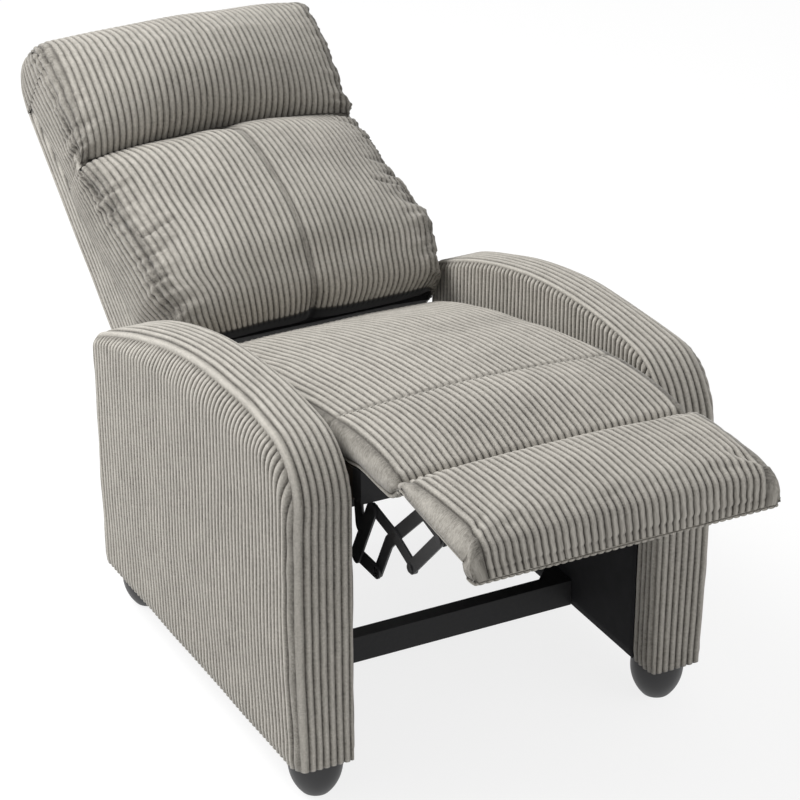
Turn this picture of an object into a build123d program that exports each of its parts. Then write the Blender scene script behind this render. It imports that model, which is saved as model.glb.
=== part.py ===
"""Push-back recliner armchair, posed fully reclined with its footrest out.

Frame: millimetres, +Z up, the sitter faces -Y, left is the sitter's left (+X).
The side view is drawn in (y, z) with y = 0 halfway along the arms, and every
piece is shifted by SHIFT_Y on export, so that the origin lies under the middle
of the whole chair.
"""
from build123d import *
import math
import os

# Whole chair
WIDTH = 660.0
ARM_WIDTH = 92.0
ARM_DEPTH = 686.0
FOOT_HEIGHT = 64.0
SHIFT_Y = -107.03

# Arm outline in the side view: a long top arc running into a tight front arc
TOP_ARC_CENTRE = (-132.9, -456.6)
TOP_ARC_RADIUS = 1026.0
FRONT_ARC_RADIUS = 96.2
REAR_CORNER_RADIUS = 22.0
COVER = 12.0
COVER_ROUND = 8.0

# Layers outward from the middle, one each side, measured along |x|
ARM_IN = WIDTH / 2 - ARM_WIDTH
ARM_OUT = WIDTH / 2
PLATE = 3.0
CROSS_LAYER = (199.4, 202.4)
MAIN_LAYER = (203.2, 206.2)
HANGER_LAYER = (207.0, 210.0)
TIE_LAYER = HANGER_LAYER
RAIL_LAYER = (210.0, 226.0)
SEAT_PLATE_LAYER = (226.0, 229.0)
SWING_LAYER = (230.2, 233.2)
BRACKET_LAYER = (230.0, 233.0)
BASE_RAIL_LAYER = (234.0, ARM_IN)
HEAD = 2.5

# Running fits
CLEARANCE = 0.05
OPEN_CLEARANCE = 2.6
RIVET = 4.0
RIVET_HEAD = 6.5
PIN = 5.0
PIN_HEAD = 8.0

# Carriage: four equal swing links carry the seat on the base
SWING_LENGTH = 100.0
SWING_LEAN = 8.0
SWING_FRONT = (-150.0, 310.0)
SWING_REAR = (90.0, 275.0)
SWING_HALF = 13.0
TUBE_RADIUS = 9.0
BASE_RAIL_HALF = 20.0
BASE_BOLT_SHARES = (0.38, 0.7)
BASE_BOLT_DEPTH = 20.0

# Seat box
SEAT_FRONT = -336.0
SEAT_REAR = 212.0
RAIL_TOP_FRONT = 508.0
RAIL_HEIGHT = 50.0
RAIL_SLOPE = math.tan(math.radians(9.0))
FRONT_RAIL_DEPTH = 25.0
REAR_RAIL_DEPTH = 22.0
REST_GAP = 0.2
NOSE = 20.0
PLATE_DROP = 29.0
PLATE_ENDS = (-285.0, 158.0)
PLATE_HALF = 18.0
EAR_HALF = 16.0
SEAT_BOLTS = (-250.0, -65.0, 110.0)
HANGER_TAB = ((-298.0, 405.0), (-288.0, 476.0))
HANGER_HALF = 12.0
SPRING_WIRE = 1.9
SPRING_DROP = 8.0
SPRING_COUNT = 5
SPRING_PITCH = 78.0
SPRING_BENDS = 12
SPRING_HALF = 32.0

# Back: (s, t) run along the back and forward from its rear face
BACK_PIVOT = (190.0, 320.0)
BACK_ORIGIN = (523.0, 375.0)
BACK_ANGLE = math.radians(38.0)
BACK_HALF = 236.0
BACK_BOTTOM = -144.0
BACK_TOP = 392.0
FRAME_FRONT = 118.0
STILE = (212.0, 230.0)
RAIL = 18.0
REAR_COVER = 8.0
LINING = 2.0
STRAPS = (-90.0, -15.0, 60.0, 135.0, 240.0, 310.0)
STRAP_WIDTH = 50.0
STRAP_SET_BACK = 4.0
BRACKET_KNEE = (-140.0, 94.0)
BRACKET_TOP = (10.0, 74.0)
BRACKET_HALF = 18.0
BRACKET_BOLTS = ((-90.0, 86.0), (-20.0, 76.0))
BRACKET_POCKET = (40.0, 30.0)

# Footrest and its linkage, seat-fixed points in the photographed pose
FOLD_AXIS = (-413.0, 525.5)
LINK_A = (-333.0, 444.5)
LINK_X = (-391.5, 434.5)
LINK_C = (-448.0, 413.5)
LINK_B = (-338.0, 351.5)
LINK_BEND = (-369.0, 411.0)
LINK_D = (-284.5, 351.5)
LINK_E = (-471.0, 508.5)
LINK_F = (-527.5, 495.5)
LINK_HALF = 9.5
WIDE_LINK_HALF = 11.0
BOARD = 8.0
BOARD_HALF = 222.0
FLANGE_IN = 176.0
FLANGE_ENDS = (-458.0, -562.0)
SCREW = 2.0
SCREW_HEAD = 4.0
SCREWS = ((188.0, -472.0), (188.0, -545.0))
BOARD_REAR = -453.0
BOARD_FRONT = -637.0
UNDERSIDE_Z = 526.0
UNDERSIDE_Y = -461.0
UNDERSIDE_SLOPE = 0.1117

# Base timber and feet
STRETCHER = (26.0, 42.0)
FRONT_STRETCHER_Y = -118.0
REAR_STRETCHER_Y = 303.0
STRETCHER_Z = 66.0
REAR_STRETCHER_Z = 72.0
BLOCK = 42.0
POST = 28.0
POST_TOPS = (460.0, 425.0)
FLOOR_BOARD = 6.0
BOTTOM_RAIL = 30.0
TOP_RAIL_ENDS = (500.0, 427.0)
TOP_RAIL = 25.0
MECHANISM_BOARD = (230.0, 340.0)
MECHANISM_BOARD_THICK = 24.0
FOOT_X = 281.0
FOOT_Y = 297.0
FOOT_TOP = 37.5
FOOT_SOLE = 21.0
FOOT_BELLY = (32.5, 17.0)
STUD_FLOOR = 20.0
STUD_MIDDLE = 57.0
STUD_LENGTH = 70.0
LINING_FRONT = -295.0
LINING_TOPS = (430.0, 330.0)


def slab(sketch, x0, x1):
    """Side-view sketch made solid from x0 to x1."""
    return extrude(Plane.YZ.offset(x0) * sketch, amount=x1 - x0)


def polygon(points):
    """Closed straight-sided sketch."""
    return make_face(Polyline(*points, close=True))


def block(x, y, z):
    """Box between pairs of limits."""
    size = [b - a for a, b in (x, y, z)]
    centre = [(a + b) / 2 for a, b in (x, y, z)]
    return Pos(*centre) * Box(*size)


def disc(centre, radius, x0, x1):
    """Round pin along X."""
    return slab(Pos(*centre) * Circle(radius), x0, x1)


def bar(points, half, layer):
    """Flat round-ended bar along a chain of side-view points."""
    sketch = Sketch()
    for a, b in zip(points, points[1:]):
        ends = (Pos(*a) * Circle(half)).edges() + (Pos(*b) * Circle(half)).edges()
        sketch += make_hull(ends)
    return slab(sketch, *layer)


def pierce(shape, holes):
    """Bore (centre, radius) holes right through along X."""
    for centre, radius in holes:
        shape -= disc(centre, radius, 0, WIDTH)
    return shape


def mirrored(shape):
    """The same piece on the sitter's right."""
    return mirror(shape, about=Plane.YZ)


def both(*shapes):
    """Every shape with its mirror image, as one group of solids."""
    solids = []
    for shape in shapes:
        solids += shape.solids() + mirrored(shape).solids()
    return Compound(solids)


def save(name, shape):
    """Write one node in the chair's frame."""
    export_step(Pos(0, SHIFT_Y, 0) * shape, f"parts/{name}.step")


def save_pair(name, shape):
    """Write a left piece and its right mirror image."""
    save(f"left_{name}", shape)
    save(f"right_{name}", mirrored(shape))


def rail_top(y):
    """Height of the seat box's top edge."""
    return RAIL_TOP_FRONT - (y - SEAT_FRONT) * RAIL_SLOPE


def underside(y):
    """Height of the footrest's underside."""
    return UNDERSIDE_Z + (y - UNDERSIDE_Y) * UNDERSIDE_SLOPE


def under_strip(ends, low, high):
    """Side-view strip along the footrest's underside, between two lifts from it."""
    rear, front = ends
    return polygon([(rear, underside(rear) + low), (front, underside(front) + low),
                    (front, underside(front) + high), (rear, underside(rear) + high)])


def back(s, t):
    """Side-view point of a place on the back."""
    along = (math.cos(BACK_ANGLE), math.sin(BACK_ANGLE))
    return (BACK_ORIGIN[0] + s * along[0] - t * along[1],
            BACK_ORIGIN[1] + s * along[1] + t * along[0])


def back_board(x, s, t):
    """Board square to the back, between pairs of limits."""
    corners = [back(s[0], t[0]), back(s[1], t[0]), back(s[1], t[1]), back(s[0], t[1])]
    return slab(polygon(corners), *x)


def swing_top(base):
    """Upper pivot of a swing link in the photographed pose."""
    lean = math.radians(SWING_LEAN)
    return (base[0] - SWING_LENGTH * math.sin(lean), base[1] + SWING_LENGTH * math.cos(lean))


def pillow(stations, plane_at):
    """Soft form lofted through (place, low, edge, crown, half, bulge) stations.

    Each section is flat below, arched by its crown on top, and rounds out by
    its bulge at the sides.
    """
    sections = []
    for place, low, edge, crown, half, bulge in stations:
        middle = (low + edge) / 2
        outline = [
            Line((-half, low), (half, low)),
            ThreePointArc((half, low), (half + bulge, middle), (half, edge)),
            ThreePointArc((half, edge), (0, edge + crown), (-half, edge)),
            ThreePointArc((-half, edge), (-half - bulge, middle), (-half, low)),
        ]
        sections.append(plane_at(place) * make_face(outline))
    return loft(sections, ruled=True)


def across(y):
    """Upright plane across the chair."""
    return Plane(origin=(0, y, 0), x_dir=(1, 0, 0), z_dir=(0, -1, 0))


def across_back(s):
    """Plane across the back, square to its length."""
    y, z = back(s, 0)
    return Plane(origin=(0, y, z), x_dir=(1, 0, 0),
                 z_dir=(0, -math.cos(BACK_ANGLE), -math.sin(BACK_ANGLE)))


def arm_outline(inset, foot):
    """Arm seen from the side, drawn in by inset, standing on height foot."""
    front = -ARM_DEPTH / 2 + inset
    rear = ARM_DEPTH / 2 - inset
    cy, cz = TOP_ARC_CENTRE
    big = TOP_ARC_RADIUS - inset
    small = FRONT_ARC_RADIUS - inset
    front_y = -ARM_DEPTH / 2 + FRONT_ARC_RADIUS
    front_z = cz + math.sqrt((TOP_ARC_RADIUS - FRONT_ARC_RADIUS) ** 2 - (front_y - cy) ** 2)
    lean = math.atan2(front_z - cz, front_y - cy)
    rear_lean = math.acos((rear - cy) / big)
    half_lean = (lean + math.pi) / 2
    mid_lean = (lean + rear_lean) / 2

    def on_top(angle):
        return (cy + big * math.cos(angle), cz + big * math.sin(angle))

    def on_front(angle):
        return (front_y + small * math.cos(angle), front_z + small * math.sin(angle))

    edges = [
        Line((rear, foot), on_top(rear_lean)),
        ThreePointArc(on_top(rear_lean), on_top(mid_lean), on_top(lean)),
        ThreePointArc(on_front(lean), on_front(half_lean), (front, front_z)),
        Line((front, front_z), (front, foot)),
        Line((front, foot), (rear, foot)),
    ]
    face = make_face(edges)
    corner = face.vertices().sort_by_distance(on_top(rear_lean))[0]
    return fillet(corner, max(REAR_CORNER_RADIUS - inset, 4.0))


def arm_covers():
    """Outer panel, inner panel, band round the edge and dark inner lining of one arm."""
    outline = arm_outline(0, FOOT_HEIGHT)
    outer = slab(outline, ARM_OUT - COVER, ARM_OUT)
    outer = fillet(outer.faces().sort_by(Axis.X)[-1].edges(), COVER_ROUND)
    inner = slab(outline, ARM_IN, ARM_IN + COVER)
    rear = ARM_DEPTH / 2 - COVER
    lined = polygon([(LINING_FRONT, FOOT_HEIGHT), (LINING_FRONT, LINING_TOPS[0]),
                     (rear, LINING_TOPS[1]), (rear, FOOT_HEIGHT)])
    lining = slab(lined, ARM_IN, ARM_IN + PLATE)
    inner -= slab(lined, ARM_IN, ARM_IN + COVER)
    ring = outline - arm_outline(COVER, FOOT_HEIGHT - 1)
    band = slab(ring, ARM_IN + COVER, ARM_OUT - COVER)
    lining = pierce(lining, [(bolt, RIVET + 0.5) for bolt in base_bolt_places()])
    return outer, inner, band, lining


def base_bolt_places():
    """Where bolts hold a base rail to its arm."""
    return [tuple(a + share * (b - a) for a, b in zip(SWING_FRONT, SWING_REAR)) for share in BASE_BOLT_SHARES]


def arm_frame():
    """Timber boards inside one arm: floor board, rails, posts and mechanism board."""
    x = (ARM_IN + COVER, ARM_OUT - COVER)
    end = ARM_DEPTH / 2 - COVER
    inside = end - POST
    floor = FOOT_HEIGHT + FLOOR_BOARD
    front_z, rear_z = TOP_RAIL_ENDS
    top_rail = polygon([(-inside, front_z), (inside, rear_z),
                        (inside, rear_z + TOP_RAIL), (-inside, front_z + TOP_RAIL)])
    stud_holes = [Pos(FOOT_X, y, 0) * Cylinder(RIVET + CLEARANCE, WIDTH) for y in (-FOOT_Y, FOOT_Y)]
    bolt_holes = [(spot, RIVET + CLEARANCE) for spot in base_bolt_places()]
    boards = [
        block(x, (-end, end), (FOOT_HEIGHT, floor)) - stud_holes,
        block(x, (-inside, inside), (floor, floor + BOTTOM_RAIL)) - stud_holes,
        block(x, (-end, -inside), (floor, POST_TOPS[0])),
        block(x, (inside, end), (floor, POST_TOPS[1])),
        slab(top_rail, *x),
        pierce(block((x[0], x[0] + MECHANISM_BOARD_THICK), (-inside, inside), MECHANISM_BOARD), bolt_holes),
    ]
    return Compound([solid for board in boards for solid in board.solids()])


def foot():
    """Bell-shaped foot with a blind hole for its stud."""
    profile = make_face([
        Line((0, 0), (FOOT_SOLE, 0)),
        ThreePointArc((FOOT_SOLE, 0), FOOT_BELLY, (FOOT_TOP, FOOT_HEIGHT)),
        Line((FOOT_TOP, FOOT_HEIGHT), (0, FOOT_HEIGHT)),
        Line((0, FOOT_HEIGHT), (0, 0)),
    ])
    body = revolve(Plane.XZ * profile, Axis.Z)
    return body - Pos(0, 0, STUD_FLOOR + FOOT_HEIGHT / 2) * Cylinder(RIVET + CLEARANCE, FOOT_HEIGHT)


def make_base():
    """Arms, stretchers, feet and the fixed half of the mechanism."""
    outer, inner, band, lining = arm_covers()
    save_pair("arm_outer_panel", outer)
    save_pair("arm_inner_panel", inner)
    save_pair("arm_band", band)
    save_pair("arm_frame", arm_frame())
    save("arm_linings", both(lining))

    deep, tall = STRETCHER
    span = (-ARM_IN, ARM_IN)
    front = block(span, (FRONT_STRETCHER_Y, FRONT_STRETCHER_Y + deep), (STRETCHER_Z, STRETCHER_Z + tall))
    rear_z = (REAR_STRETCHER_Z, REAR_STRETCHER_Z + tall)
    rear = block(span, (REAR_STRETCHER_Y, REAR_STRETCHER_Y + deep), rear_z)
    save("front_stretcher", front)
    save("rear_stretcher", rear)
    back_face = FRONT_STRETCHER_Y + deep
    gussets = []
    for y, toward, z in ((back_face, BLOCK, STRETCHER_Z), (REAR_STRETCHER_Y, -BLOCK, REAR_STRETCHER_Z)):
        sketch = polygon([(ARM_IN, y), (ARM_IN, y + toward), (ARM_IN - BLOCK, y)])
        gussets.append(extrude(Plane.XY.offset(z) * sketch, amount=tall, dir=(0, 0, 1)))
    save("corner_blocks", both(*gussets))

    places = [(FOOT_X, y) for y in (-FOOT_Y, FOOT_Y)]
    save("feet", both(*[Pos(x, y, 0) * foot() for x, y in places]))
    save("foot_studs", both(*[Pos(x, y, STUD_MIDDLE) * Cylinder(RIVET, STUD_LENGTH) for x, y in places]))

    pivots = [SWING_FRONT, SWING_REAR]
    rail = bar(pivots, BASE_RAIL_HALF, BASE_RAIL_LAYER)
    rail = pierce(rail, [(p, PIN + CLEARANCE) for p in pivots]
                  + [(spot, RIVET + CLEARANCE) for spot in base_bolt_places()])
    save_pair("base_rail", rail)
    bolts = []
    for spot in base_bolt_places():
        bolts.append(disc(spot, RIVET_HEAD, BASE_RAIL_LAYER[0] - HEAD, BASE_RAIL_LAYER[0])
                     + disc(spot, RIVET, BASE_RAIL_LAYER[0], ARM_IN + COVER + BASE_BOLT_DEPTH))
    save("base_rail_bolts", both(*bolts))
    pins = []
    for pivot in pivots:
        pins.append(disc(pivot, PIN, SWING_LAYER[0], ARM_IN)
                    + disc(pivot, PIN_HEAD, SWING_LAYER[0] - HEAD, SWING_LAYER[0]))
    save("swing_base_pins", both(*pins))


def make_swings():
    """Front links welded to their torque tube, and rear links with their pins."""
    front_top = swing_top(SWING_FRONT)
    rear_top = swing_top(SWING_REAR)
    front = pierce(bar([SWING_FRONT, front_top], SWING_HALF, SWING_LAYER), [(SWING_FRONT, PIN + CLEARANCE)])
    save("front_swing_links", both(front))
    save("torque_tube", disc(front_top, TUBE_RADIUS, -SWING_LAYER[0], SWING_LAYER[0]))
    holes = [(SWING_REAR, PIN + CLEARANCE), (rear_top, PIN + CLEARANCE)]
    save("rear_swing_links", both(pierce(bar([SWING_REAR, rear_top], SWING_HALF, SWING_LAYER), holes)))
    pin = disc(rear_top, PIN, SEAT_PLATE_LAYER[0], SWING_LAYER[1])
    pin += disc(rear_top, PIN_HEAD, SEAT_PLATE_LAYER[0] - HEAD, SEAT_PLATE_LAYER[0])
    save("rear_swing_pins", both(pin))


def seat_bolt_places():
    """Where bolts hold a seat plate to its side rail."""
    return [(y, rail_top(y) - PLATE_DROP) for y in SEAT_BOLTS]


def zigzag_spring(x):
    """One sinuous spring wire from the front rail to the rear rail, under the cushion."""
    start = SEAT_FRONT + FRONT_RAIL_DEPTH + 2 * SPRING_WIRE
    end = SEAT_REAR - REAR_RAIL_DEPTH - 2 * SPRING_WIRE
    step = (end - start) / SPRING_BENDS
    reach = SPRING_HALF - step / 2
    edges = [Line((start, 0), (start, reach))]
    side = 1
    for index in range(SPRING_BENDS):
        at = start + step * index
        top = (at + step / 2, side * SPRING_HALF)
        edges.append(ThreePointArc((at, side * reach), top, (at + step, side * reach)))
        last = index == SPRING_BENDS - 1
        edges.append(Line((at + step, side * reach), (at + step, 0 if last else -side * reach)))
        side = -side
    rise = math.atan(RAIL_SLOPE)
    plane = Plane(origin=(x, 0, rail_top(0) - SPRING_DROP), x_dir=(0, math.cos(rise), -math.sin(rise)),
                  z_dir=(0, math.sin(rise), math.cos(rise)))
    path = plane * Wire(edges)
    return sweep(Plane(origin=path @ 0, z_dir=path % 0) * Circle(SPRING_WIRE), path=path)


def nose_stations():
    """Rounded front end of the seat, turned about the footrest's fold axis."""
    rows = []
    for angle, crown, half in ((80, 1.5, 222), (55, 2, 225), (30, 3, 226), (0, 4, 227)):
        turn = math.radians(angle)
        rise = NOSE * math.cos(turn)
        place = FOLD_AXIS[0] - NOSE * math.sin(turn)
        rows.append((place, FOLD_AXIS[1] - rise, FOLD_AXIS[1] + rise - 1, crown, half, 3))
    return rows


SEAT_STATIONS = nose_stations() + [
    (-385.0, 506, 548, 8, 227, 3),
    (-337.0, None, 550, 12, 227, 3),
    (-300.0, None, 549, 14, 227, 3),
    (-262.0, None, 546.5, 13, 227, 3),
    (-246.0, None, 544, 11, 227, 3),
    (-239.0, None, 543, 10, 227, 3),
    (-232.0, None, 543, 11, 227, 3),
    (-214.0, None, 540.5, 13, 227, 3),
    (-160.0, None, 531, 17, 227, 3),
    (-60.0, None, 511, 19, 227, 3),
    (40.0, None, 488.5, 17, 227, 3),
    (140.0, None, 461, 12, 227, 3),
    (200.0, None, 444, 10, 226, 3),
    (240.0, None, 431, 8, 225, 3),
    (254.0, 418, 426.5, 6, 223, 2),
    (259.0, 420, 424, 3, 220, 1.5),
]


def make_seat():
    """Seat box, springs, cushion and the mechanism plates that ride with them."""
    front_end = SEAT_FRONT + FRONT_RAIL_DEPTH
    rear_end = SEAT_REAR - REAR_RAIL_DEPTH
    side = [(front_end, rail_top(front_end) - RAIL_HEIGHT), (rear_end, rail_top(rear_end) - RAIL_HEIGHT),
            (rear_end, rail_top(rear_end)), (front_end, rail_top(front_end))]
    holes = [(spot, RIVET + CLEARANCE) for spot in seat_bolt_places()]
    save_pair("seat_side_rail", pierce(slab(polygon(side), *RAIL_LAYER), holes))
    wide = (-RAIL_LAYER[1], RAIL_LAYER[1])
    for name, y0, y1 in (("front", SEAT_FRONT, front_end), ("rear", rear_end, SEAT_REAR)):
        low = rail_top(y0 if name == "front" else y1) - RAIL_HEIGHT
        ends = [(y0, low), (y1, low), (y1, rail_top(y1)), (y0, rail_top(y0))]
        save(f"seat_{name}_rail", slab(polygon(ends), *wide))
    middle = (SPRING_COUNT - 1) / 2
    springs = [zigzag_spring((index - middle) * SPRING_PITCH) for index in range(SPRING_COUNT)]
    save("seat_springs", Compound([solid for spring in springs for solid in spring.solids()]))

    stations = [(y, rail_top(y) + REST_GAP if low is None else low, *rest) for y, low, *rest in SEAT_STATIONS]
    save("seat_cushion", pillow(stations, across))

    front_top = swing_top(SWING_FRONT)
    rear_top = swing_top(SWING_REAR)
    spine = [(y, rail_top(y) - PLATE_DROP) for y in PLATE_ENDS]
    plate = bar(spine, PLATE_HALF, SEAT_PLATE_LAYER)
    for ear in (front_top, rear_top, BACK_PIVOT):
        root_y = min(ear[0], PLATE_ENDS[1])
        plate += bar([ear, (root_y, rail_top(root_y) - PLATE_DROP)], EAR_HALF, SEAT_PLATE_LAYER)
    bores = [(front_top, TUBE_RADIUS + CLEARANCE), (rear_top, PIN + CLEARANCE), (BACK_PIVOT, PIN + CLEARANCE)]
    save_pair("seat_plate", pierce(plate, bores + holes))
    bolts = []
    for spot in seat_bolt_places():
        bolts.append(disc(spot, RIVET, RAIL_LAYER[0], SEAT_PLATE_LAYER[1])
                     + disc(spot, RIVET_HEAD, SEAT_PLATE_LAYER[1], SEAT_PLATE_LAYER[1] + 2))
    save("seat_plate_bolts", both(*bolts))
    pin = disc(BACK_PIVOT, PIN, SEAT_PLATE_LAYER[0], BRACKET_LAYER[1])
    pin += disc(BACK_PIVOT, PIN_HEAD, SEAT_PLATE_LAYER[0] - HEAD, SEAT_PLATE_LAYER[0])
    save("back_pivot_pins", both(pin))

    hanger = bar([LINK_A, LINK_D], HANGER_HALF, HANGER_LAYER) + bar(HANGER_TAB, HANGER_HALF, HANGER_LAYER)
    save("hanger_plates", both(pierce(hanger, [(LINK_A, RIVET + CLEARANCE), (LINK_D, RIVET + CLEARANCE)])))
    save("hanger_rivets", both(*[rivet(p, HANGER_LAYER[1], MAIN_LAYER[0]) for p in (LINK_A, LINK_D)]))


def rivet(centre, flush, headed):
    """Rivet that ends flush on one side and carries a head on the other."""
    away = HEAD if headed > flush else -HEAD
    shank = disc(centre, RIVET, min(flush, headed), max(flush, headed))
    return shank + disc(centre, RIVET_HEAD, min(headed, headed + away), max(headed, headed + away))


LUMBAR_STATIONS = [
    (-157.0, 180, 188, 4, 204, 3),
    (-152.0, 152, 207, 9, 216, 4),
    (-146.0, 130, 221, 14, 222, 4),
    (-137.0, FRAME_FRONT, 230, 18, 226, 4),
    (-108.0, FRAME_FRONT, 240, 26, 228, 5),
    (-64.0, FRAME_FRONT, 240, 42, 229, 5),
    (-16.0, FRAME_FRONT, 226, 60, 229, 5),
    (45.0, FRAME_FRONT, 197, 79, 230, 5),
    (110.0, FRAME_FRONT, 170, 86, 230, 5),
    (150.0, FRAME_FRONT, 158, 79, 230, 5),
    (180.0, FRAME_FRONT, 149, 60, 229, 4),
    (205.0, FRAME_FRONT, 139, 30, 226, 3),
    (222.0, FRAME_FRONT, 128, 8, 222, 2),
]
HEAD_STATIONS = [
    (223.5, FRAME_FRONT, 128, 8, 228, 2),
    (234.0, FRAME_FRONT, 139, 36, 231, 3),
    (250.0, FRAME_FRONT, 148, 50, 233, 4),
    (275.0, FRAME_FRONT, 154, 62, 235, 4),
    (310.0, FRAME_FRONT, 157, 69, 236, 4),
    (364.0, FRAME_FRONT, 157, 64, 236, 4),
    (392.2, FRAME_FRONT, 155, 50, 236, 4),
    (392.8, 2.0, 154.8, 50, 236, 4),
    (425.0, 6.0, 146, 24, 236, 5),
    (450.0, 22.0, 117, 12, 234, 5),
    (464.0, 45.0, 80, 9, 229, 4),
]


def back_bolt_places():
    """Where bolts hold a bracket to its stile."""
    return [back(s, t) for s, t in BRACKET_BOLTS]


def make_back():
    """Back frame, covers, cushions and the brackets that hang it on the seat plates."""
    low = BACK_BOTTOM + LINING
    high = BACK_TOP - 2 * LINING
    deep = (REAR_COVER, FRAME_FRONT)
    between = (-STILE[0], STILE[0])
    holes = [(spot, RIVET + CLEARANCE) for spot in back_bolt_places()]
    save_pair("back_stile", pierce(back_board(STILE, (low, high), deep), holes))
    middle = HEAD_STATIONS[0][0] - RAIL
    rails = [back_board(between, (s, s + RAIL), deep) for s in (low, middle, high - RAIL)]
    save("back_rails", Compound([rail.solid() for rail in rails]))
    strap_face = FRAME_FRONT - STRAP_SET_BACK
    straps = [back_board(between, (s, s + STRAP_WIDTH), (strap_face - LINING, strap_face)) for s in STRAPS]
    save("back_webbing", Compound([strap.solid() for strap in straps]))
    save("back_rear_panel", back_board((-BACK_HALF, BACK_HALF), (BACK_BOTTOM, BACK_TOP), (0, REAR_COVER)))
    panel = back_board((STILE[1], BACK_HALF), (BACK_BOTTOM, BACK_TOP), deep)
    pocket_top, pocket_rear = BRACKET_POCKET
    panel -= back_board((0, BRACKET_LAYER[1] + LINING), (BACK_BOTTOM, pocket_top), (pocket_rear, FRAME_FRONT))
    save_pair("back_side_panel", panel)
    save("back_bottom_lining", back_board((-STILE[1], STILE[1]), (BACK_BOTTOM, low), deep))
    save("lumbar_cushion", pillow(LUMBAR_STATIONS, across_back))
    save("head_cushion", pillow(HEAD_STATIONS, across_back))

    bracket = bar([BACK_PIVOT, back(*BRACKET_KNEE), back(*BRACKET_TOP)], BRACKET_HALF, BRACKET_LAYER)
    save_pair("back_bracket", pierce(bracket, holes + [(BACK_PIVOT, PIN + CLEARANCE)]))
    bolts = []
    for spot in back_bolt_places():
        bolts.append(disc(spot, RIVET, STILE[0], BRACKET_LAYER[1])
                     + disc(spot, RIVET_HEAD, BRACKET_LAYER[1], BRACKET_LAYER[1] + LINING))
    save("back_bracket_bolts", both(*bolts))


FOOTREST_STATIONS = [
    (-435.5, 0, 531, 3, 221, 2),
    (-440.0, 0, 538.5, 4, 226, 3),
    (-452.0, 0, 546, 7, 230, 4),
    (BOARD_REAR, BOARD, 546.5, 7, 230, 4),
    (-480.0, BOARD, 551, 10, 231, 4),
    (-540.0, BOARD, 555, 12, 231, 4),
    (-600.0, BOARD, 555, 10, 231, 4),
    (-628.0, BOARD, 552.5, 9, 231, 4),
    (BOARD_FRONT, BOARD, 550.5, 8, 230, 4),
    (-638.0, 0, 550, 8, 230, 4),
    (-644.0, -1, 545, 5, 229, 4),
    (-648.0, -1, 536, 3, 227, 3),
    (-650.0, 0, 524, 2, 224, 2),
]


def make_footrest():
    """Padded board and the brackets that the linkage carries."""
    holes = [Pos(x, y, 0) * Cylinder(SCREW + CLEARANCE, 4 * WIDTH) for x, y in SCREWS]
    holes += [mirrored(hole) for hole in holes]
    board = slab(under_strip((BOARD_REAR, BOARD_FRONT), 0, BOARD), -BOARD_HALF, BOARD_HALF)
    save("footrest_board", board - holes)
    stations = [(y, underside(y) + lift, *rest) for y, lift, *rest in FOOTREST_STATIONS]
    save("footrest_pad", pillow(stations, across))

    flange = slab(under_strip(FLANGE_ENDS, -PLATE, 0), FLANGE_IN, MAIN_LAYER[1])
    rear = FLANGE_ENDS[0]
    gusset = polygon([(rear, underside(rear) - PLATE), (LINK_F[0], underside(LINK_F[0]) - PLATE),
                      LINK_F, LINK_E])
    web = bar([LINK_E, LINK_F], WIDE_LINK_HALF, MAIN_LAYER) + slab(gusset, *MAIN_LAYER)
    bracket = flange + web
    bracket = pierce(bracket, [(LINK_E, RIVET + OPEN_CLEARANCE), (LINK_F, RIVET + OPEN_CLEARANCE)])
    save_pair("footrest_bracket", bracket - holes)
    screws = []
    for x, y in SCREWS:
        top = underside(y) + BOARD - 1
        seat = underside(y - SCREW_HEAD) - PLATE
        screws.append(Pos(x, y, (top + seat) / 2) * Cylinder(SCREW, top - seat)
                      + Pos(x, y, seat - 1) * Cylinder(SCREW_HEAD, 2))
    save("footrest_screws", both(*screws))


def make_linkage():
    """Footrest linkage: main, cross, rocker and tie links with their rivets, both sides."""
    snug = RIVET + CLEARANCE
    loose = RIVET + OPEN_CLEARANCE
    main = pierce(bar([LINK_A, LINK_X, LINK_C], LINK_HALF, MAIN_LAYER),
                  [(LINK_A, snug), (LINK_X, snug), (LINK_C, snug)])
    save("main_links", both(main))
    save("main_link_rivets", both(rivet(LINK_X, MAIN_LAYER[1], CROSS_LAYER[0]),
                                  rivet(LINK_C, MAIN_LAYER[0], TIE_LAYER[1])))
    cross = pierce(bar([LINK_B, LINK_BEND, LINK_X, LINK_E], LINK_HALF, CROSS_LAYER),
                   [(LINK_X, snug), (LINK_B, snug), (LINK_E, snug)])
    save("cross_links", both(cross))
    save("cross_link_rivets", both(*[rivet(p, MAIN_LAYER[1], CROSS_LAYER[0]) for p in (LINK_B, LINK_E)]))
    rocker = pierce(bar([LINK_D, LINK_B], WIDE_LINK_HALF, MAIN_LAYER), [(LINK_D, snug), (LINK_B, loose)])
    save("rocker_links", both(rocker))
    tie = pierce(bar([LINK_C, LINK_F], LINK_HALF, TIE_LAYER), [(LINK_C, snug), (LINK_F, snug)])
    save("tie_links", both(tie))
    save("tie_link_rivets", both(rivet(LINK_F, MAIN_LAYER[0], TIE_LAYER[1])))


os.makedirs("parts", exist_ok=True)
make_base()
make_swings()
make_seat()
make_back()
make_footrest()
make_linkage()
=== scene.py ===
# %% [markdown]
# # A recliner armchair in wide corduroy
# The chair is photographed fully reclined with its footrest out. Its frame, links
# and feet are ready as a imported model. This lesson dresses that frame: every
# cushion and cover is a surface worked out as whole arrays, with each corduroy rib
# as real geometry, so the ribs cast their own small shadows.

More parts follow.
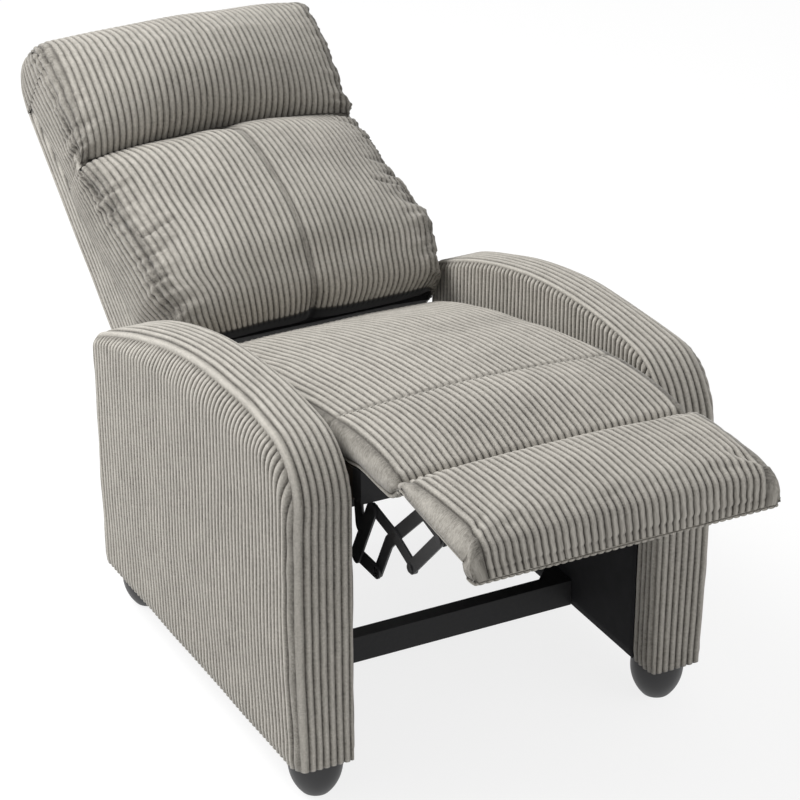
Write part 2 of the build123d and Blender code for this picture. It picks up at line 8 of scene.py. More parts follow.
# %% Load the frame
import math
import bpy
import numpy as np
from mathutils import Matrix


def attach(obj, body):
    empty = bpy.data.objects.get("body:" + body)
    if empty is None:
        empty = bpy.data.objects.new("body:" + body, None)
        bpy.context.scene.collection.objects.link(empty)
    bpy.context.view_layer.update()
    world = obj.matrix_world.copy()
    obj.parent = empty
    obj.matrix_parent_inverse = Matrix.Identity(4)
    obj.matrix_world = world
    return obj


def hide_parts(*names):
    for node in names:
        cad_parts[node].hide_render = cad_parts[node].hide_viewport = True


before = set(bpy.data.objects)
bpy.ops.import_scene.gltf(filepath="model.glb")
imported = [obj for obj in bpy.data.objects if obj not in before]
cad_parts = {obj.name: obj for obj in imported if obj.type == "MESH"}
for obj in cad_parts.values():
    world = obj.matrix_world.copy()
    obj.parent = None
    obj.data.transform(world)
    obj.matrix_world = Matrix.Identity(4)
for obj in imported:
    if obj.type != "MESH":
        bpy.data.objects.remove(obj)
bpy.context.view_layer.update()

# %% [markdown]
# ## Units and the side view
# Sizes are written in millimetres in the side view of the chair, (y, z), with y = 0
# halfway along the arms, because that is how a maker would draw it. One function
# moves points into the model's frame in metres, so no other line has to.

# %% Shared measures
SHIFT_Y = -107.03
PAD = 5.0
ARM_FRONT, ARM_REAR, ARM_FOOT = -343.0 - PAD, 343.0 + PAD, 64.0
ARM_INNER, ARM_OUTER = 238.0, 341.0
BACK_ORIGIN = (523.0, 375.0)
BACK_ANGLE = math.radians(38.0)
PITCH = 11.2
CUSHION_PITCH = 10.4


def in_frame(points):
    """Millimetres in the side view to metres in the model: shift y, then divide by 1000."""
    return (np.asarray(points, float) + (0.0, SHIFT_Y, 0.0)) * 0.001


def on_back(s, t):
    """(y, z) of a place s along the back and t forward from its rear face: a turn by its angle."""
    c, d = math.cos(BACK_ANGLE), math.sin(BACK_ANGLE)
    return BACK_ORIGIN[0] + s * c - t * d, BACK_ORIGIN[1] + s * d + t * c


print("arms:", ARM_REAR - ARM_FRONT, "mm long,", 2 * ARM_OUTER, "mm over all")

# %% [markdown]
# ## From grids to meshes
# A grid of points becomes quads by joining each point to its right and lower
# neighbours. Closed shells are turned outward by the sign of their volume, which is
# safer than trusting the order in which a grid was written.

# %% Mesh helpers
def quads(rows, cols, wrap=False):
    """Faces of a grid: corners (i, j), (i, j+1), (i+1, j+1), (i+1, j), with j wrapped for a tube."""
    i = np.arange(rows - 1)[:, None] * cols
    j = np.arange(cols if wrap else cols - 1)[None, :]
    right = (j + 1) % cols
    return np.stack([i + j, i + right, i + cols + right, i + cols + j], -1).reshape(-1, 4)


def tube_faces(rows, cols):
    """Tube quads and a flat face over each end."""
    ends = np.arange(cols)[None, :]
    return [quads(rows, cols, True), ends[:, ::-1], (rows - 1) * cols + ends]


def rim_of(rows, cols):
    """Indices of a grid's border points, in order round it."""
    index = np.arange(rows * cols).reshape(rows, cols)
    return np.concatenate([index[0], index[1:, -1], index[-1, -2::-1], index[-2:0:-1, 0]])


def walls_between(rim, far):
    """Quads from the points of a border to their copies."""
    return np.stack([rim, np.roll(rim, -1), np.roll(far, -1), far], -1)


def volume(points, groups):
    """Signed volume: a sixth of the sum of a . (b x c) over fans of each face."""
    total = 0.0
    for faces in groups:
        for k in range(1, faces.shape[1] - 1):
            a, b, c = points[faces[:, 0]], points[faces[:, k]], points[faces[:, k + 1]]
            total += np.einsum("ij,ij->", a, np.cross(b, c)) / 6
    return total


def surface(name, points, groups, material, pile=None, cloth=None):
    """Mesh object from points in millimetres and arrays of faces, with its pile tone and painted shade as
    an attribute, and its cloth UV.
    """
    points = in_frame(points)
    if volume(points - points.mean(0), groups) < 0:
        groups = [faces[:, ::-1] for faces in groups]
    loops = np.concatenate([faces.ravel() for faces in groups]).astype(np.int32)
    sizes = np.concatenate([np.full(len(faces), faces.shape[1]) for faces in groups])
    mesh = bpy.data.meshes.new(name)
    mesh.vertices.add(len(points))
    mesh.vertices.foreach_set("co", points.astype(np.float32).ravel())
    mesh.loops.add(len(loops))
    mesh.loops.foreach_set("vertex_index", loops)
    mesh.polygons.add(len(sizes))
    starts = np.concatenate([[0], np.cumsum(sizes)[:-1]])
    mesh.polygons.foreach_set("loop_start", starts.astype(np.int32))
    mesh.update(calc_edges=True)
    mesh.polygons.foreach_set("use_smooth", sizes == 4)
    # The attribute holds the cloth's pile tone together with painted shade in grooves, creases and on the
    # sides.
    if pile is not None:
        layer = mesh.attributes.new("pile", "FLOAT", "POINT")
        layer.data.foreach_set("value", np.asarray(pile, np.float32).ravel())
    if cloth is not None:
        uv = mesh.uv_layers.new(name="cloth")
        uv.data.foreach_set("uv", (np.asarray(cloth)[loops] * 0.001).astype(np.float32).ravel())
    piece = bpy.data.objects.new(name, mesh)
    bpy.context.scene.collection.objects.link(piece)
    if material is not None:
        mesh.materials.append(material)
    return piece


def dress(piece, body, slot, *nodes):
    """Ride on a body and stand for CAD nodes, which are hidden. The slot is not used."""
    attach(piece, body)
    if nodes:
        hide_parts(*nodes)
    print(piece.name, len(piece.data.vertices), "points")
    return piece


# %% [markdown]
# ## Shader arithmetic
# Node trees are easier to read as sums. One small class wraps a socket: plus, minus
# and times add Math nodes, and one method adds any other node.

# %% Shader class
class Wire:
    """A socket that can be used in arithmetic, or a bare tree when it has no socket."""

    def __init__(self, tree, socket=None):
        self.tree, self.socket = tree, socket

    def node(self, kind, settings=None, inputs=None, out=0):
        """Add a node: its settings first, then the values or links of its inputs; returns one output."""
        made = self.tree.nodes.new("ShaderNode" + kind)
        for key, value in (settings or {}).items():
            if key == "stops":
                ramp = made.color_ramp.elements
                while len(ramp) < len(value):
                    ramp.new(0.5)
                for element, (place, colour) in zip(ramp, value):
                    element.position, element.color = place, (*colour, 1.0)
            else:
                setattr(made, key, value)
        for key, value in (inputs or {}).items():
            if isinstance(value, Wire):
                self.tree.links.new(value.socket, made.inputs[key])
            else:
                made.inputs[key].default_value = value
        return Wire(self.tree, made.outputs[out])

    def sums(self, operation, a, b):
        """One Math node on two values or wires."""
        return self.node("Math", {"operation": operation}, {0: a, 1: b})

    def __add__(self, other):
        return self.sums("ADD", self, other)

    def __sub__(self, other):
        return self.sums("SUBTRACT", self, other)

    def __rsub__(self, other):
        return self.sums("SUBTRACT", other, self)

    def __mul__(self, other):
        return self.sums("MULTIPLY", self, other)

    __radd__, __rmul__ = __add__, __mul__


def begin(name, **constants):
    """New material: returns it, a Wire on its tree and its shader, with constant sockets set."""
    material = bpy.data.materials.new(name)
    material.use_nodes = True
    shader = material.node_tree.nodes["Principled BSDF"]
    for key, value in constants.items():
        shader.inputs[key.replace("_", " ")].default_value = value
    return material, Wire(material.node_tree), shader


def plug(wire, shader, **sockets):
    """Link wires to a shader's sockets."""
    for key, value in sockets.items():
        wire.tree.links.new(value.socket, shader.inputs[key.replace("_", " ")])


# %% [markdown]
# ## Corduroy
# The cloth is a taupe grey pile. Ribs are geometry, so the finish only adds what is
# finer: lighter tips and darker roots in the grooves, partly the cloth's own tone and
# partly painted shade, brushed patches where the pile leans another way, and a speckle
# of fibres. The pile tone with its painted shade comes from each mesh as an attribute,
# and the fibres follow the cloth through its own UV map.

# %% Corduroy finish
# The darkest grey is the groove root's own tone, deepened by painted shade.
PILE_DARK_AND_SHADE = (0.085, 0.078, 0.068)
PILE_MID = (0.36, 0.339, 0.302)
PILE_LIGHT = (0.62, 0.588, 0.53)
LINING_TONE = (0.009, 0.009, 0.01, 1.0)


def corduroy():
    """Tone = pile tone with painted shade + fibres + brushed patches, read through a ramp of three greys.

    A value below nought marks smooth black lining.
    """
    material, w, shader = begin("corduroy", Roughness=0.95, Sheen_Weight=0.25, Sheen_Roughness=0.45,
                                Specular_IOR_Level=0.15)
    cloth = w.node("UVMap", {"uv_map": "cloth"})
    pile = w.node("Attribute", {"attribute_name": "pile"}, out="Fac")
    fibres = w.node("TexNoise", {}, {"Vector": cloth, "Scale": 620.0, "Detail": 3.0,
                                     "Roughness": 0.7})
    tufts = w.node("TexNoise", {}, {"Vector": cloth, "Scale": 210.0, "Detail": 2.0})
    patches = w.node("TexNoise", {}, {"Vector": cloth, "Scale": 13.0, "Detail": 4.0,
                                      "Roughness": 0.6})
    drawn = w.node("Mapping", {}, {"Vector": cloth, "Scale": (1.0, 0.14, 1.0)})
    streaks = w.node("TexNoise", {}, {"Vector": drawn, "Scale": 240.0, "Detail": 2.0})
    tone = (pile * 0.8 + (fibres - 0.5) * 1.15 + (tufts - 0.5) * 0.45 + (streaks - 0.5) * 0.35
            + (patches - 0.5) * 0.28 + 0.06)
    greys = [(0.0, PILE_DARK_AND_SHADE), (0.52, PILE_MID), (1.0, PILE_LIGHT)]
    ribbed = w.node("ValToRGB", {"stops": greys}, {"Fac": tone})
    lined = w.node("Math", {"operation": "MULTIPLY", "use_clamp": True}, {0: pile, 1: -1.0})
    colour = w.node("Mix", {"data_type": "RGBA"}, {0: lined, 6: ribbed, 7: LINING_TONE}, 2)
    bump = w.node("Bump", {}, {"Height": fibres * 0.6 + tufts * 0.4, "Strength": 0.35,
                               "Distance": 0.0012})
    plug(w, shader, Base_Color=colour, Normal=bump)
    return material


CORDUROY = corduroy()
print("corduroy:", len(CORDUROY.node_tree.nodes), "nodes")

# %% [markdown]
# ## Ribs
# A rib is a round cord between two sharp grooves. Eight points per rib are enough if
# they crowd towards the grooves. The crest lies on the drawn surface and the groove
# below it, so ribs never make a cushion bigger than its frame allows.

# %% Rib profile and soft noise
RIB_STEPS = np.array([0.0, 0.07, 0.19, 0.34, 0.5, 0.66, 0.81, 0.93])
RIB_POINTS = len(RIB_STEPS)
# The second power shapes the paleness across a rib, which carries painted shade.
RIB_POWER, TONE_AND_SHADE_POWER = 2.1, 1.7
GROOVE = 4.6
LATTICE = 64


def rib_columns(count):
    """Rib coordinates of the columns that cover a whole number of ribs, the last groove included."""
    return np.concatenate([(np.arange(count)[:, None] + RIB_STEPS).ravel(), [count]])


def rib_height(q):
    """Height from 0 in the groove to 1 at the crest: root of 1 less the way from the crest to a power."""
    f = np.abs(2 * (q - np.floor(q)) - 1)
    return np.sqrt(np.clip(1 - f ** RIB_POWER, 0, 1))


def rib_tone_and_shade(q):
    """Paleness from 0 in the groove to 1 at the crest, the cloth's own tone with painted shade across the
    rib: 1 less the way from the crest to a power.
    """
    return 1 - np.abs(2 * (q - np.floor(q)) - 1) ** TONE_AND_SHADE_POWER


def drift(u, v, cell, seed):
    """Smooth random field from -1 to 1: random numbers on a lattice, joined with the smoothstep curve."""
    lattice = np.random.default_rng(seed).uniform(-1, 1, (LATTICE, LATTICE))
    a, b = np.broadcast_arrays(np.asarray(u) / cell, np.asarray(v) / cell)
    i, j = np.floor(a).astype(int), np.floor(b).astype(int)
    s, t = a - i, b - j
    s, t = s * s * (3 - 2 * s), t * t * (3 - 2 * t)
    i, j, k, m = i % LATTICE, j % LATTICE, (i + 1) % LATTICE, (j + 1) % LATTICE
    near = lattice[i, j] * (1 - s) + lattice[k, j] * s
    far = lattice[i, m] * (1 - s) + lattice[k, m] * s
    return near * (1 - t) + far * t


def bell(x, width):
    """Smooth hump of height 1: exp(-(x / width) squared)."""
    return np.exp(-(np.asarray(x) / width) ** 2)


print("one rib:", RIB_POINTS, "points,", GROOVE, "mm deep")

# %% [markdown]
# ## Camera
# The camera comes first, because everything else is judged through it: a long lens,
# a little to the sitter's right of the front and looking down.

# %% Camera
def make_camera(azimuth, elevation, distance, target, lens):
    """Camera looking at a target from (sin a cos e, -cos a cos e, sin e) times the distance."""
    a, e = math.radians(azimuth), math.radians(elevation)
    back = np.array([math.sin(a) * math.cos(e), -math.cos(a) * math.cos(e), math.sin(e)])
    data = bpy.data.cameras.new("camera")
    data.lens, data.sensor_width = lens, 36.0
    camera = bpy.data.objects.new("camera", data)
    camera.location = in_frame(np.array(target) + back * distance)
    print("camera at", [round(v, 2) for v in camera.location])
    camera.rotation_euler = (math.pi / 2 - e, 0.0, a)
    bpy.context.scene.collection.objects.link(camera)
    bpy.context.scene.camera = camera


make_camera(azimuth=-27.46, elevation=26.45, distance=4495.0, target=(7.2, 0.0, 413.6), lens=137.93)

# %% [markdown]
# ## Arms
# Each arm is a padded board with three covers: an outer panel, a band round its top
# and front, and an inner panel. The outline is a straight front, a tight arc, a long
# flat arc and a small rear corner. The band's section is carried along it.

# %% Arm outline
TOP_Y, TOP_Z, TOP_R = -132.9, -456.6, 1026.0
FRONT_Y, FRONT_R = -246.8, 96.2 + PAD
FRONT_Z = TOP_Z + math.sqrt((TOP_R - FRONT_R) ** 2 - (FRONT_Y - TOP_Y) ** 2)
REAR_R = 22.0 + PAD
REAR_Y = ARM_REAR - REAR_R
REAR_Z = TOP_Z + math.sqrt((TOP_R - REAR_R) ** 2 - (REAR_Y - TOP_Y) ** 2)


def arm_path(step):
    """Outline points and outward normals from front foot over the top to rear foot: lines and arcs."""
    lean = math.atan2(FRONT_Z - TOP_Z, FRONT_Y - TOP_Y)
    rear_lean = math.atan2(REAR_Z - TOP_Z, REAR_Y - TOP_Y)
    up = np.arange(ARM_FOOT, FRONT_Z, step)
    down = np.append(np.arange(REAR_Z, ARM_FOOT, -step), ARM_FOOT)
    runs = [(np.stack([np.full(len(up), ARM_FRONT), up], 1),
             np.tile([-1.0, 0.0], (len(up), 1)))]
    for cy, cz, radius, start, end in ((FRONT_Y, FRONT_Z, FRONT_R, math.pi, lean),
                                       (TOP_Y, TOP_Z, TOP_R, lean, rear_lean),
                                       (REAR_Y, REAR_Z, REAR_R, rear_lean, 0.0)):
        count = max(8, int(radius * (start - end) / step))
        angle = np.linspace(start, end, count, endpoint=False)
        normal = np.stack([np.cos(angle), np.sin(angle)], 1)
        runs.append((np.array([cy, cz]) + radius * normal, normal))
    runs.append((np.stack([np.full(len(down), ARM_REAR), down], 1),
                 np.tile([1.0, 0.0], (len(down), 1))))
    return np.concatenate([p for p, n in runs]), np.concatenate([n for p, n in runs])


def arm_inset(y, z):
    """Distance in from the arm's outline: the least of those to its front, its rear and its arcs."""
    depth = np.minimum(np.minimum(y - ARM_FRONT, ARM_REAR - y),
                       TOP_R - np.hypot(y - TOP_Y, z - TOP_Z))
    front = (y < FRONT_Y) & (z > FRONT_Z)
    depth = np.where(front, FRONT_R - np.hypot(y - FRONT_Y, z - FRONT_Z), depth)
    rear = (y > REAR_Y) & (z > REAR_Z)
    return np.where(rear, REAR_R - np.hypot(y - REAR_Y, z - REAR_Z), depth)


def arm_top(y, inset):
    """Height of the outline drawn in by inset, above each y."""
    y = np.clip(y, ARM_FRONT + inset, ARM_REAR - inset)
    top = TOP_Z + np.sqrt((TOP_R - inset) ** 2 - (y - TOP_Y) ** 2)
    front = FRONT_Z + np.sqrt(np.clip((FRONT_R - inset) ** 2 - (y - FRONT_Y) ** 2, 0, None))
    rear = REAR_Z + np.sqrt(np.clip((REAR_R - inset) ** 2 - (y - REAR_Y) ** 2, 0, None))
    rear = np.where(y > REAR_Y, np.minimum(rear, top), top)
    return np.where(y < FRONT_Y, np.minimum(front, top), rear)


print("arm top at", round(TOP_Z + TOP_R, 1), "mm")

# %% [markdown]
# The edges of an arm are rounded, tightly on the inside and generously on the outside,
# where the padding rolls over. Each seam runs part of the way round its rounding. The
# band's ribs follow the outline: one broad flat rib beside the outer seam, then seven
# of the usual size.

# %% Arm bands
OUTER_ROUNDS = (18.0, 24.0, 58.0)
NOSE_ROUND = 38.0
INNER_ROUNDS = (13.0, 15.0)
OUTER_SEAM, INNER_SEAM = 0.76, 0.93
FOOT_TUCK, TUCK_RISE = 5.0, 200.0
BAND_THICK = 12.0
BAND_RIBS = [17.0] + [10.4] * 7
BAND_SINK, SINK_WIDTH = 2.0, 5.0
SHOULDER, SHOULDER_RISE = 440.0, 75.0


def ease(x):
    """Smooth step from 0 to 1: 3 x^2 - 2 x^3, held flat outside."""
    x = np.clip(x, 0, 1)
    return x * x * (3 - 2 * x)


def outer_face(z):
    """Side of the arm: tucked in at the foot, full from a third of the way up."""
    return ARM_OUTER - FOOT_TUCK * (1 - ease((z - ARM_FOOT) / TUCK_RISE))


def inner_face(z):
    """Inner side of the arm: upright."""
    return np.full(np.shape(z), ARM_INNER)


def outer_round(y, z):
    """Radius of the outer edge: tight down the rear, rounder down the front, roundest along the top."""
    rear, front, top = OUTER_ROUNDS
    upright = rear + (front - rear) * ease((-y - 60.0) / 160.0)
    above = top + (NOSE_ROUND - top) * ease((-y - 150.0) / 150.0)
    return upright + (above - upright) * ease((z - SHOULDER) / SHOULDER_RISE)


def inner_round(y, z):
    """Radius of the inner edge: a little wider along the top than down the front."""
    upright, above = INNER_ROUNDS
    return upright + (above - upright) * ease((z - SHOULDER) / SHOULDER_RISE)


def band_section(widths, face, outer, inner):
    """(x, n) section for every place: part of a rounding, a flat, part of a rounding, and a back inside."""
    marks = np.concatenate([[0.0], np.cumsum(widths)])
    q = rib_columns(len(widths))
    flat = face - ARM_INNER - outer - inner
    start, end = outer * OUTER_SEAM, inner * INNER_SEAM
    total = start + flat + end
    arc = np.interp(q, np.arange(len(marks)), marks / marks[-1]) * total
    lean = (OUTER_SEAM * np.clip(1 - arc / start, 0, 1)
            - INNER_SEAM * np.clip((arc - start - flat) / end, 0, 1))
    radius = np.where(arc < start, outer, inner)
    core = np.clip(face - outer - (arc - start), ARM_INNER + inner, face - outer)
    edges = bell(arc, SINK_WIDTH) + bell(arc - total, SINK_WIDTH)
    sink = GROOVE * (1 - rib_height(q)) + BAND_SINK * edges
    parts = [(core + (radius - depth) * np.sin(lean), (radius - depth) * np.cos(lean) - radius)
             for depth in (sink, BAND_THICK)]
    x, n = (np.concatenate([front, back[:, ::-RIB_POINTS]], 1) for front, back in zip(*parts))
    extra = x.shape[1] - len(q)
    across = np.concatenate([arc[0], arc[0, -1] + 20.0 + PITCH * np.arange(extra)])
    tone = np.concatenate([rib_tone_and_shade(q), np.zeros(extra)])
    return x, n, tone, across, np.arange(x.shape[1]) < len(q)


def arm_band(side, name):
    """Band section carried along the outline: point = path + n * normal, the ribs swaying a little."""
    path, normal = arm_path(5.0)
    y, z = path[:, :1], path[:, 1:]
    x, n, tone, across, shown = band_section(BAND_RIBS, outer_face(z), outer_round(y, z),
                                             inner_round(y, z))
    run = np.concatenate([[0.0], np.cumsum(np.linalg.norm(np.diff(path, axis=0), axis=1))])
    soft = drift(run[:, None], across[None, :], 70.0, 11) * 0.9 * shown
    sway = drift(run[:, None], 9.0, 90.0, 12) * 0.8 * shown
    rows, cols = x.shape
    yz = path[:, None, :] + (n + soft)[:, :, None] * normal[:, None, :]
    points = np.concatenate([((x + sway) * side)[..., None], yz], -1).reshape(-1, 3)
    cloth = np.stack(np.broadcast_arrays(across[None, :], run[:, None]), -1).reshape(-1, 2)
    piece = surface(name, points, tube_faces(rows, cols), CORDUROY,
                    np.broadcast_to(tone, (rows, cols)), cloth)
    return piece


for word, side in (("left", 1), ("right", -1)):
    dress(arm_band(side, f"{word}_band_cover"), "base", "corduroy", f"{word}_arm_band")

# %% [markdown]
# The panels are height fields over the side view. Ribs stand upright, and the panel
# rolls over the rounded edge into the seam, which is why the ribs seem to hook over
# at the top. Each panel is closed by a flat back against its board.

# %% Arm panels
PANEL_BACK, INNER_BACK = 313.0, 249.5
PANEL_RISE = np.concatenate([np.linspace(0, 0.72, 20), np.linspace(0.74, 0.93, 12),
                             np.linspace(0.94, 1, 14)])[:, None]
HEM_ROUND = 7.0
SWELL_LIMIT = 0.8


def roll(depth, radius):
    """How far a rounded edge falls back at a depth from the outline: a quarter circle."""
    gap = np.clip(1 - depth / radius, 0, 1)
    return radius * (1 - np.sqrt(1 - gap * gap))


def panel_shell(columns, low, radius, seam, face, back, seed):
    """Columns of ribs from low up to the seam, as a closed pad: rolled edge, slight sway, flat back."""
    q, y = columns
    inset = radius(y, arm_top(y, 5.0)) * (1 - math.cos(seam))
    top = arm_top(y, inset)
    z = low + PANEL_RISE * (top - low)
    wander = drift(y[None, :], z, 60.0, seed) * 1.3 * np.sin(np.pi * PANEL_RISE)
    yy = np.broadcast_to(y, z.shape) + wander
    depth = np.clip(arm_inset(yy, z), inset, None)
    height = np.broadcast_to(rib_height(q), z.shape)
    to_seam = depth - inset
    sink = GROOVE * (1 - height) * (1 + 0.35 * bell(to_seam, 22.0)) + 2.5 * bell(to_seam, 6.0)
    hem = roll(z - low + 2.0, HEM_ROUND) * (low.min() < ARM_FOOT + 1)
    sink = sink + roll(depth, radius(yy, z)) + hem
    puff = (drift(yy, z, 85.0, seed + 1)
            + drift(yy, z * 0.4, 14.0, seed + 2) * 1.2 * bell(to_seam, 26.0))
    room = back - face(z)
    fall = sink + SWELL_LIMIT - np.clip(puff, None, SWELL_LIMIT)
    x = face(z) + np.sign(room) * np.clip(fall, 0, np.abs(room) - 0.6)
    rows, cols = z.shape
    points = np.stack([x, yy, z], -1).reshape(-1, 3)
    rim = rim_of(rows, cols)
    behind = points[rim] * (0, 1, 1) + (back, 0, 0)
    far = rows * cols + np.arange(len(rim))
    faces = [quads(rows, cols), walls_between(rim, far)[:, ::-1], far[None, :]]
    # Rib paleness with painted shade in the grooves, and painted shade halving it towards the sunken seam.
    pile = rib_tone_and_shade(q) * (1 - 0.5 * bell(to_seam, 4.0))
    return np.concatenate([points, behind]), faces, np.append(pile, np.zeros(len(rim)))


def rib_run(start, end):
    """Rib coordinates and places of the columns of a whole number of ribs from start to end."""
    count = max(1, round(abs(end - start) / PITCH))
    q = rib_columns(count)
    return q, start + (end - start) * q / count


def arm_panel(side, name, shells):
    """Join shells into one cover, on the side of the chair that the sign gives."""
    points, groups, pile, base = [], [], [], 0
    for shell_points, shell_groups, shell_pile_and_shade in shells:
        flip = volume(shell_points - shell_points.mean(0), shell_groups) < 0
        groups += [(faces[:, ::-1] if flip else faces) + base for faces in shell_groups]
        points.append(shell_points * (side, 1, 1))
        pile.append(shell_pile_and_shade)
        base += len(shell_points)
    points = np.concatenate(points)
    piece = surface(name, points, groups, CORDUROY, np.concatenate(pile), points[:, 1:])
    return piece


LINING_FRONT, LINING_REAR = -295.0, 331.0
LINING_TOPS = (430.0, 330.0)


def lining_top(y):
    """Height where the inner panel meets the dark lining: a straight line."""
    return np.interp(y, [LINING_FRONT, LINING_REAR], LINING_TOPS)


def floor_line(columns):
    """The arm's foot under every column."""
    return np.full(columns[1].shape, ARM_FOOT)


OUTER_WAY = (outer_round, OUTER_SEAM, outer_face, PANEL_BACK)
INNER_WAY = (inner_round, INNER_SEAM, inner_face, INNER_BACK)
rear_edge, front_edge = (radius * (1 - math.cos(OUTER_SEAM)) for radius in OUTER_ROUNDS[:2])
inner_edge = INNER_ROUNDS[0] * (1 - math.cos(INNER_SEAM))
run = rib_run(ARM_FRONT + front_edge, ARM_REAR - rear_edge)
strip = rib_run(ARM_FRONT + inner_edge, LINING_FRONT)
upper = rib_run(LINING_FRONT, ARM_REAR - inner_edge)
for word, side in (("left", 1), ("right", -1)):
    shells = [panel_shell(run, floor_line(run), *OUTER_WAY, 21)]
    dress(arm_panel(side, f"{word}_outer_cover", shells), "base", "corduroy",
          f"{word}_arm_outer_panel")
    shells = [panel_shell(strip, floor_line(strip), *INNER_WAY, 31),
              panel_shell(upper, lining_top(upper[1]), *INNER_WAY, 35)]
    dress(arm_panel(side, f"{word}_inner_cover", shells), "base", "corduroy",
          f"{word}_arm_inner_panel")

# %% [markdown]
# ## Cushions
# A cushion is a closed tube of sections. Each section is flat below, arched on top
# and rounded at its sides. The sizes of the sections run smoothly from station to
# station. Ribs go on last of all, so that they follow the swollen form.

# %% Sections and smooth stations
WALL = 0.04


def curve_through(at, knots, values):
    """Cubic through (knots, values) that never overshoots: its slopes are harmonic means of the chords."""
    knots, values = np.asarray(knots, float), np.asarray(values, float)
    step = np.diff(knots)
    chord = np.diff(values) / step
    slope = np.concatenate([chord[:1], np.zeros(len(chord) - 1), chord[-1:]])
    product = chord[1:] * chord[:-1]
    total = np.where(product > 0, chord[1:] + chord[:-1], 1.0)
    slope[1:-1] = np.where(product > 0, 2 * product / total, 0.0)
    i = np.clip(np.searchsorted(knots, at) - 1, 0, len(step) - 1)
    t, h = (at - knots[i]) / step[i], step[i]
    return ((1 + 2 * t) * (1 - t) ** 2 * values[i] + t * (1 - t) ** 2 * h * slope[i]
            + t * t * (3 - 2 * t) * values[i + 1] + t * t * (t - 1) * h * slope[i + 1])


def tube_columns(top, side, hem, below):
    """Columns round a section: a part (0 top, 1 side, 2 hem, 3 below), a share along it and a hand each."""
    parts = [(0, top, 0), (1, side, 1), (2, hem, 1), (3, below, 0), (2, 1 - hem, -1),
             (1, 1 - side, -1)]
    part = np.concatenate([np.full(len(share), k) for k, share, hand in parts])
    hand = np.concatenate([np.full(len(share), hand) for k, share, hand in parts])
    share = np.concatenate([share for k, share, hand in parts])
    order = np.concatenate([k + run for k, run in enumerate((top, side, hem, below, hem, side))])
    return part, share, hand, order


def tube(stations, place, columns, corner, hem_round):
    """Section points (x, h) at every place, and the way from the end of the corner.

    Arch, elliptic corner, side, hem and underside. A skirt lets the side hang below the underside,
    outside the frame.
    """
    knots, *columns_of = zip(*[(*row, 0.0)[:7] for row in stations])
    low, edge, crown, half, bulge, skirt = (curve_through(place, knots, values)[:, None]
                                            for values in columns_of)
    part, share, hand, order = columns
    share = share[None, :]
    thick, foot = edge - low, low - skirt
    drop = np.minimum(corner, 0.6 * thick)
    small = np.minimum(hem_round, 0.3 * thick)
    side_run = np.maximum(edge - foot - drop - small, 0.01)
    arc = (corner + drop) * math.pi / 4
    along = np.where(part == 1, share, 0) * (arc + side_run)
    turn = np.clip(along / arc, 0, 1) * math.pi / 2
    fall = np.clip(along - arc, 0, None)
    x_side = half - corner + corner * np.sin(turn) + bulge * np.sin(np.pi * fall / side_run)
    h_side = (edge + crown * (1 - (np.minimum(x_side, half) / half) ** 2)
              - drop * (1 - np.cos(turn)) - fall)
    x_hem = half - small * (1 - np.cos(share * math.pi / 2))
    h_hem = foot + small * (1 - np.sin(share * math.pi / 2))
    x_top = (2 * share - 1) * (half - corner)
    h_top = edge + crown * (1 - (x_top / half) ** 2)
    hung = np.clip(skirt / 6.0, 0, 1)
    inner = share + hung * (np.clip((share - WALL) / (1 - 2 * WALL), 0, 1) - share)
    x_low = (1 - 2 * inner) * (half - small)
    h_low = foot + skirt * np.clip(np.minimum(share, 1 - share) / WALL, 0, 1)
    kinds = [part == 0, part == 1, part == 2]
    x = np.select(kinds, [x_top, hand * x_side, hand * x_hem], x_low)
    h = np.select(kinds, [h_top, h_side, h_hem], h_low)
    away = np.select(kinds[:2], [np.abs(x_top) - (half - corner) - arc, along - arc], 500.0)
    return x, h, away


def normals(grid):
    """Unit normals of a tube grid from its differences along rows and round columns."""
    along = np.gradient(grid, axis=0)
    round_ = np.roll(grid, -1, 1) - np.roll(grid, 1, 1)
    n = np.cross(along, round_)
    n /= np.linalg.norm(n, axis=-1, keepdims=True) + 1e-9
    outward = np.einsum("ijk,ijk->", n, grid - grid.mean((0, 1)))
    return n if outward > 0 else -n


# %% [markdown]
# A stuffed cover bulges between its seams. That could be drawn by hand, but a short
# cloth simulation with pressure inside finds the form by itself. It runs on a coarse
# grid, and the fine grid reads its moves smoothly.

# %% Swelling by cloth simulation
SWELL_STEPS = 20


def swell(name, grid, held, pressure, cap):
    """Blow up a closed grid as cloth under pressure, held at some points; returns capped moves in mm."""
    rows, cols = grid.shape[:2]
    piece = surface("swell_" + name, grid.reshape(-1, 3), tube_faces(rows, cols), None)
    group = piece.vertex_groups.new(name="held")
    group.add(np.flatnonzero(held.ravel()).tolist(), 1.0, "REPLACE")
    cloth = piece.modifiers.new("Cloth", "CLOTH")
    cloth.settings.vertex_group_mass = "held"
    cloth.settings.use_pressure = True
    cloth.settings.uniform_pressure_force = pressure
    cloth.settings.effector_weights.gravity = 0.0
    cloth.settings.quality = 6
    cloth.settings.tension_stiffness = cloth.settings.compression_stiffness = 25.0
    cloth.settings.bending_stiffness = 0.8
    cloth.point_cache.frame_end = SWELL_STEPS
    scene = bpy.context.scene
    for step in range(1, SWELL_STEPS + 1):
        scene.frame_set(step)
    final = piece.evaluated_get(bpy.context.evaluated_depsgraph_get()).to_mesh()
    co = np.zeros(len(final.vertices) * 3, np.float32)
    final.vertices.foreach_get("co", co)
    move = (co.reshape(rows, cols, 3) - in_frame(grid)) * 1000
    scene.frame_set(1)
    bpy.data.objects.remove(piece)
    length = np.linalg.norm(move, axis=-1, keepdims=True)
    move *= np.minimum(1, cap / np.maximum(length, 1e-6))
    print(name, "swelled by up to", round(float(length.max()), 1), "mm")
    return move


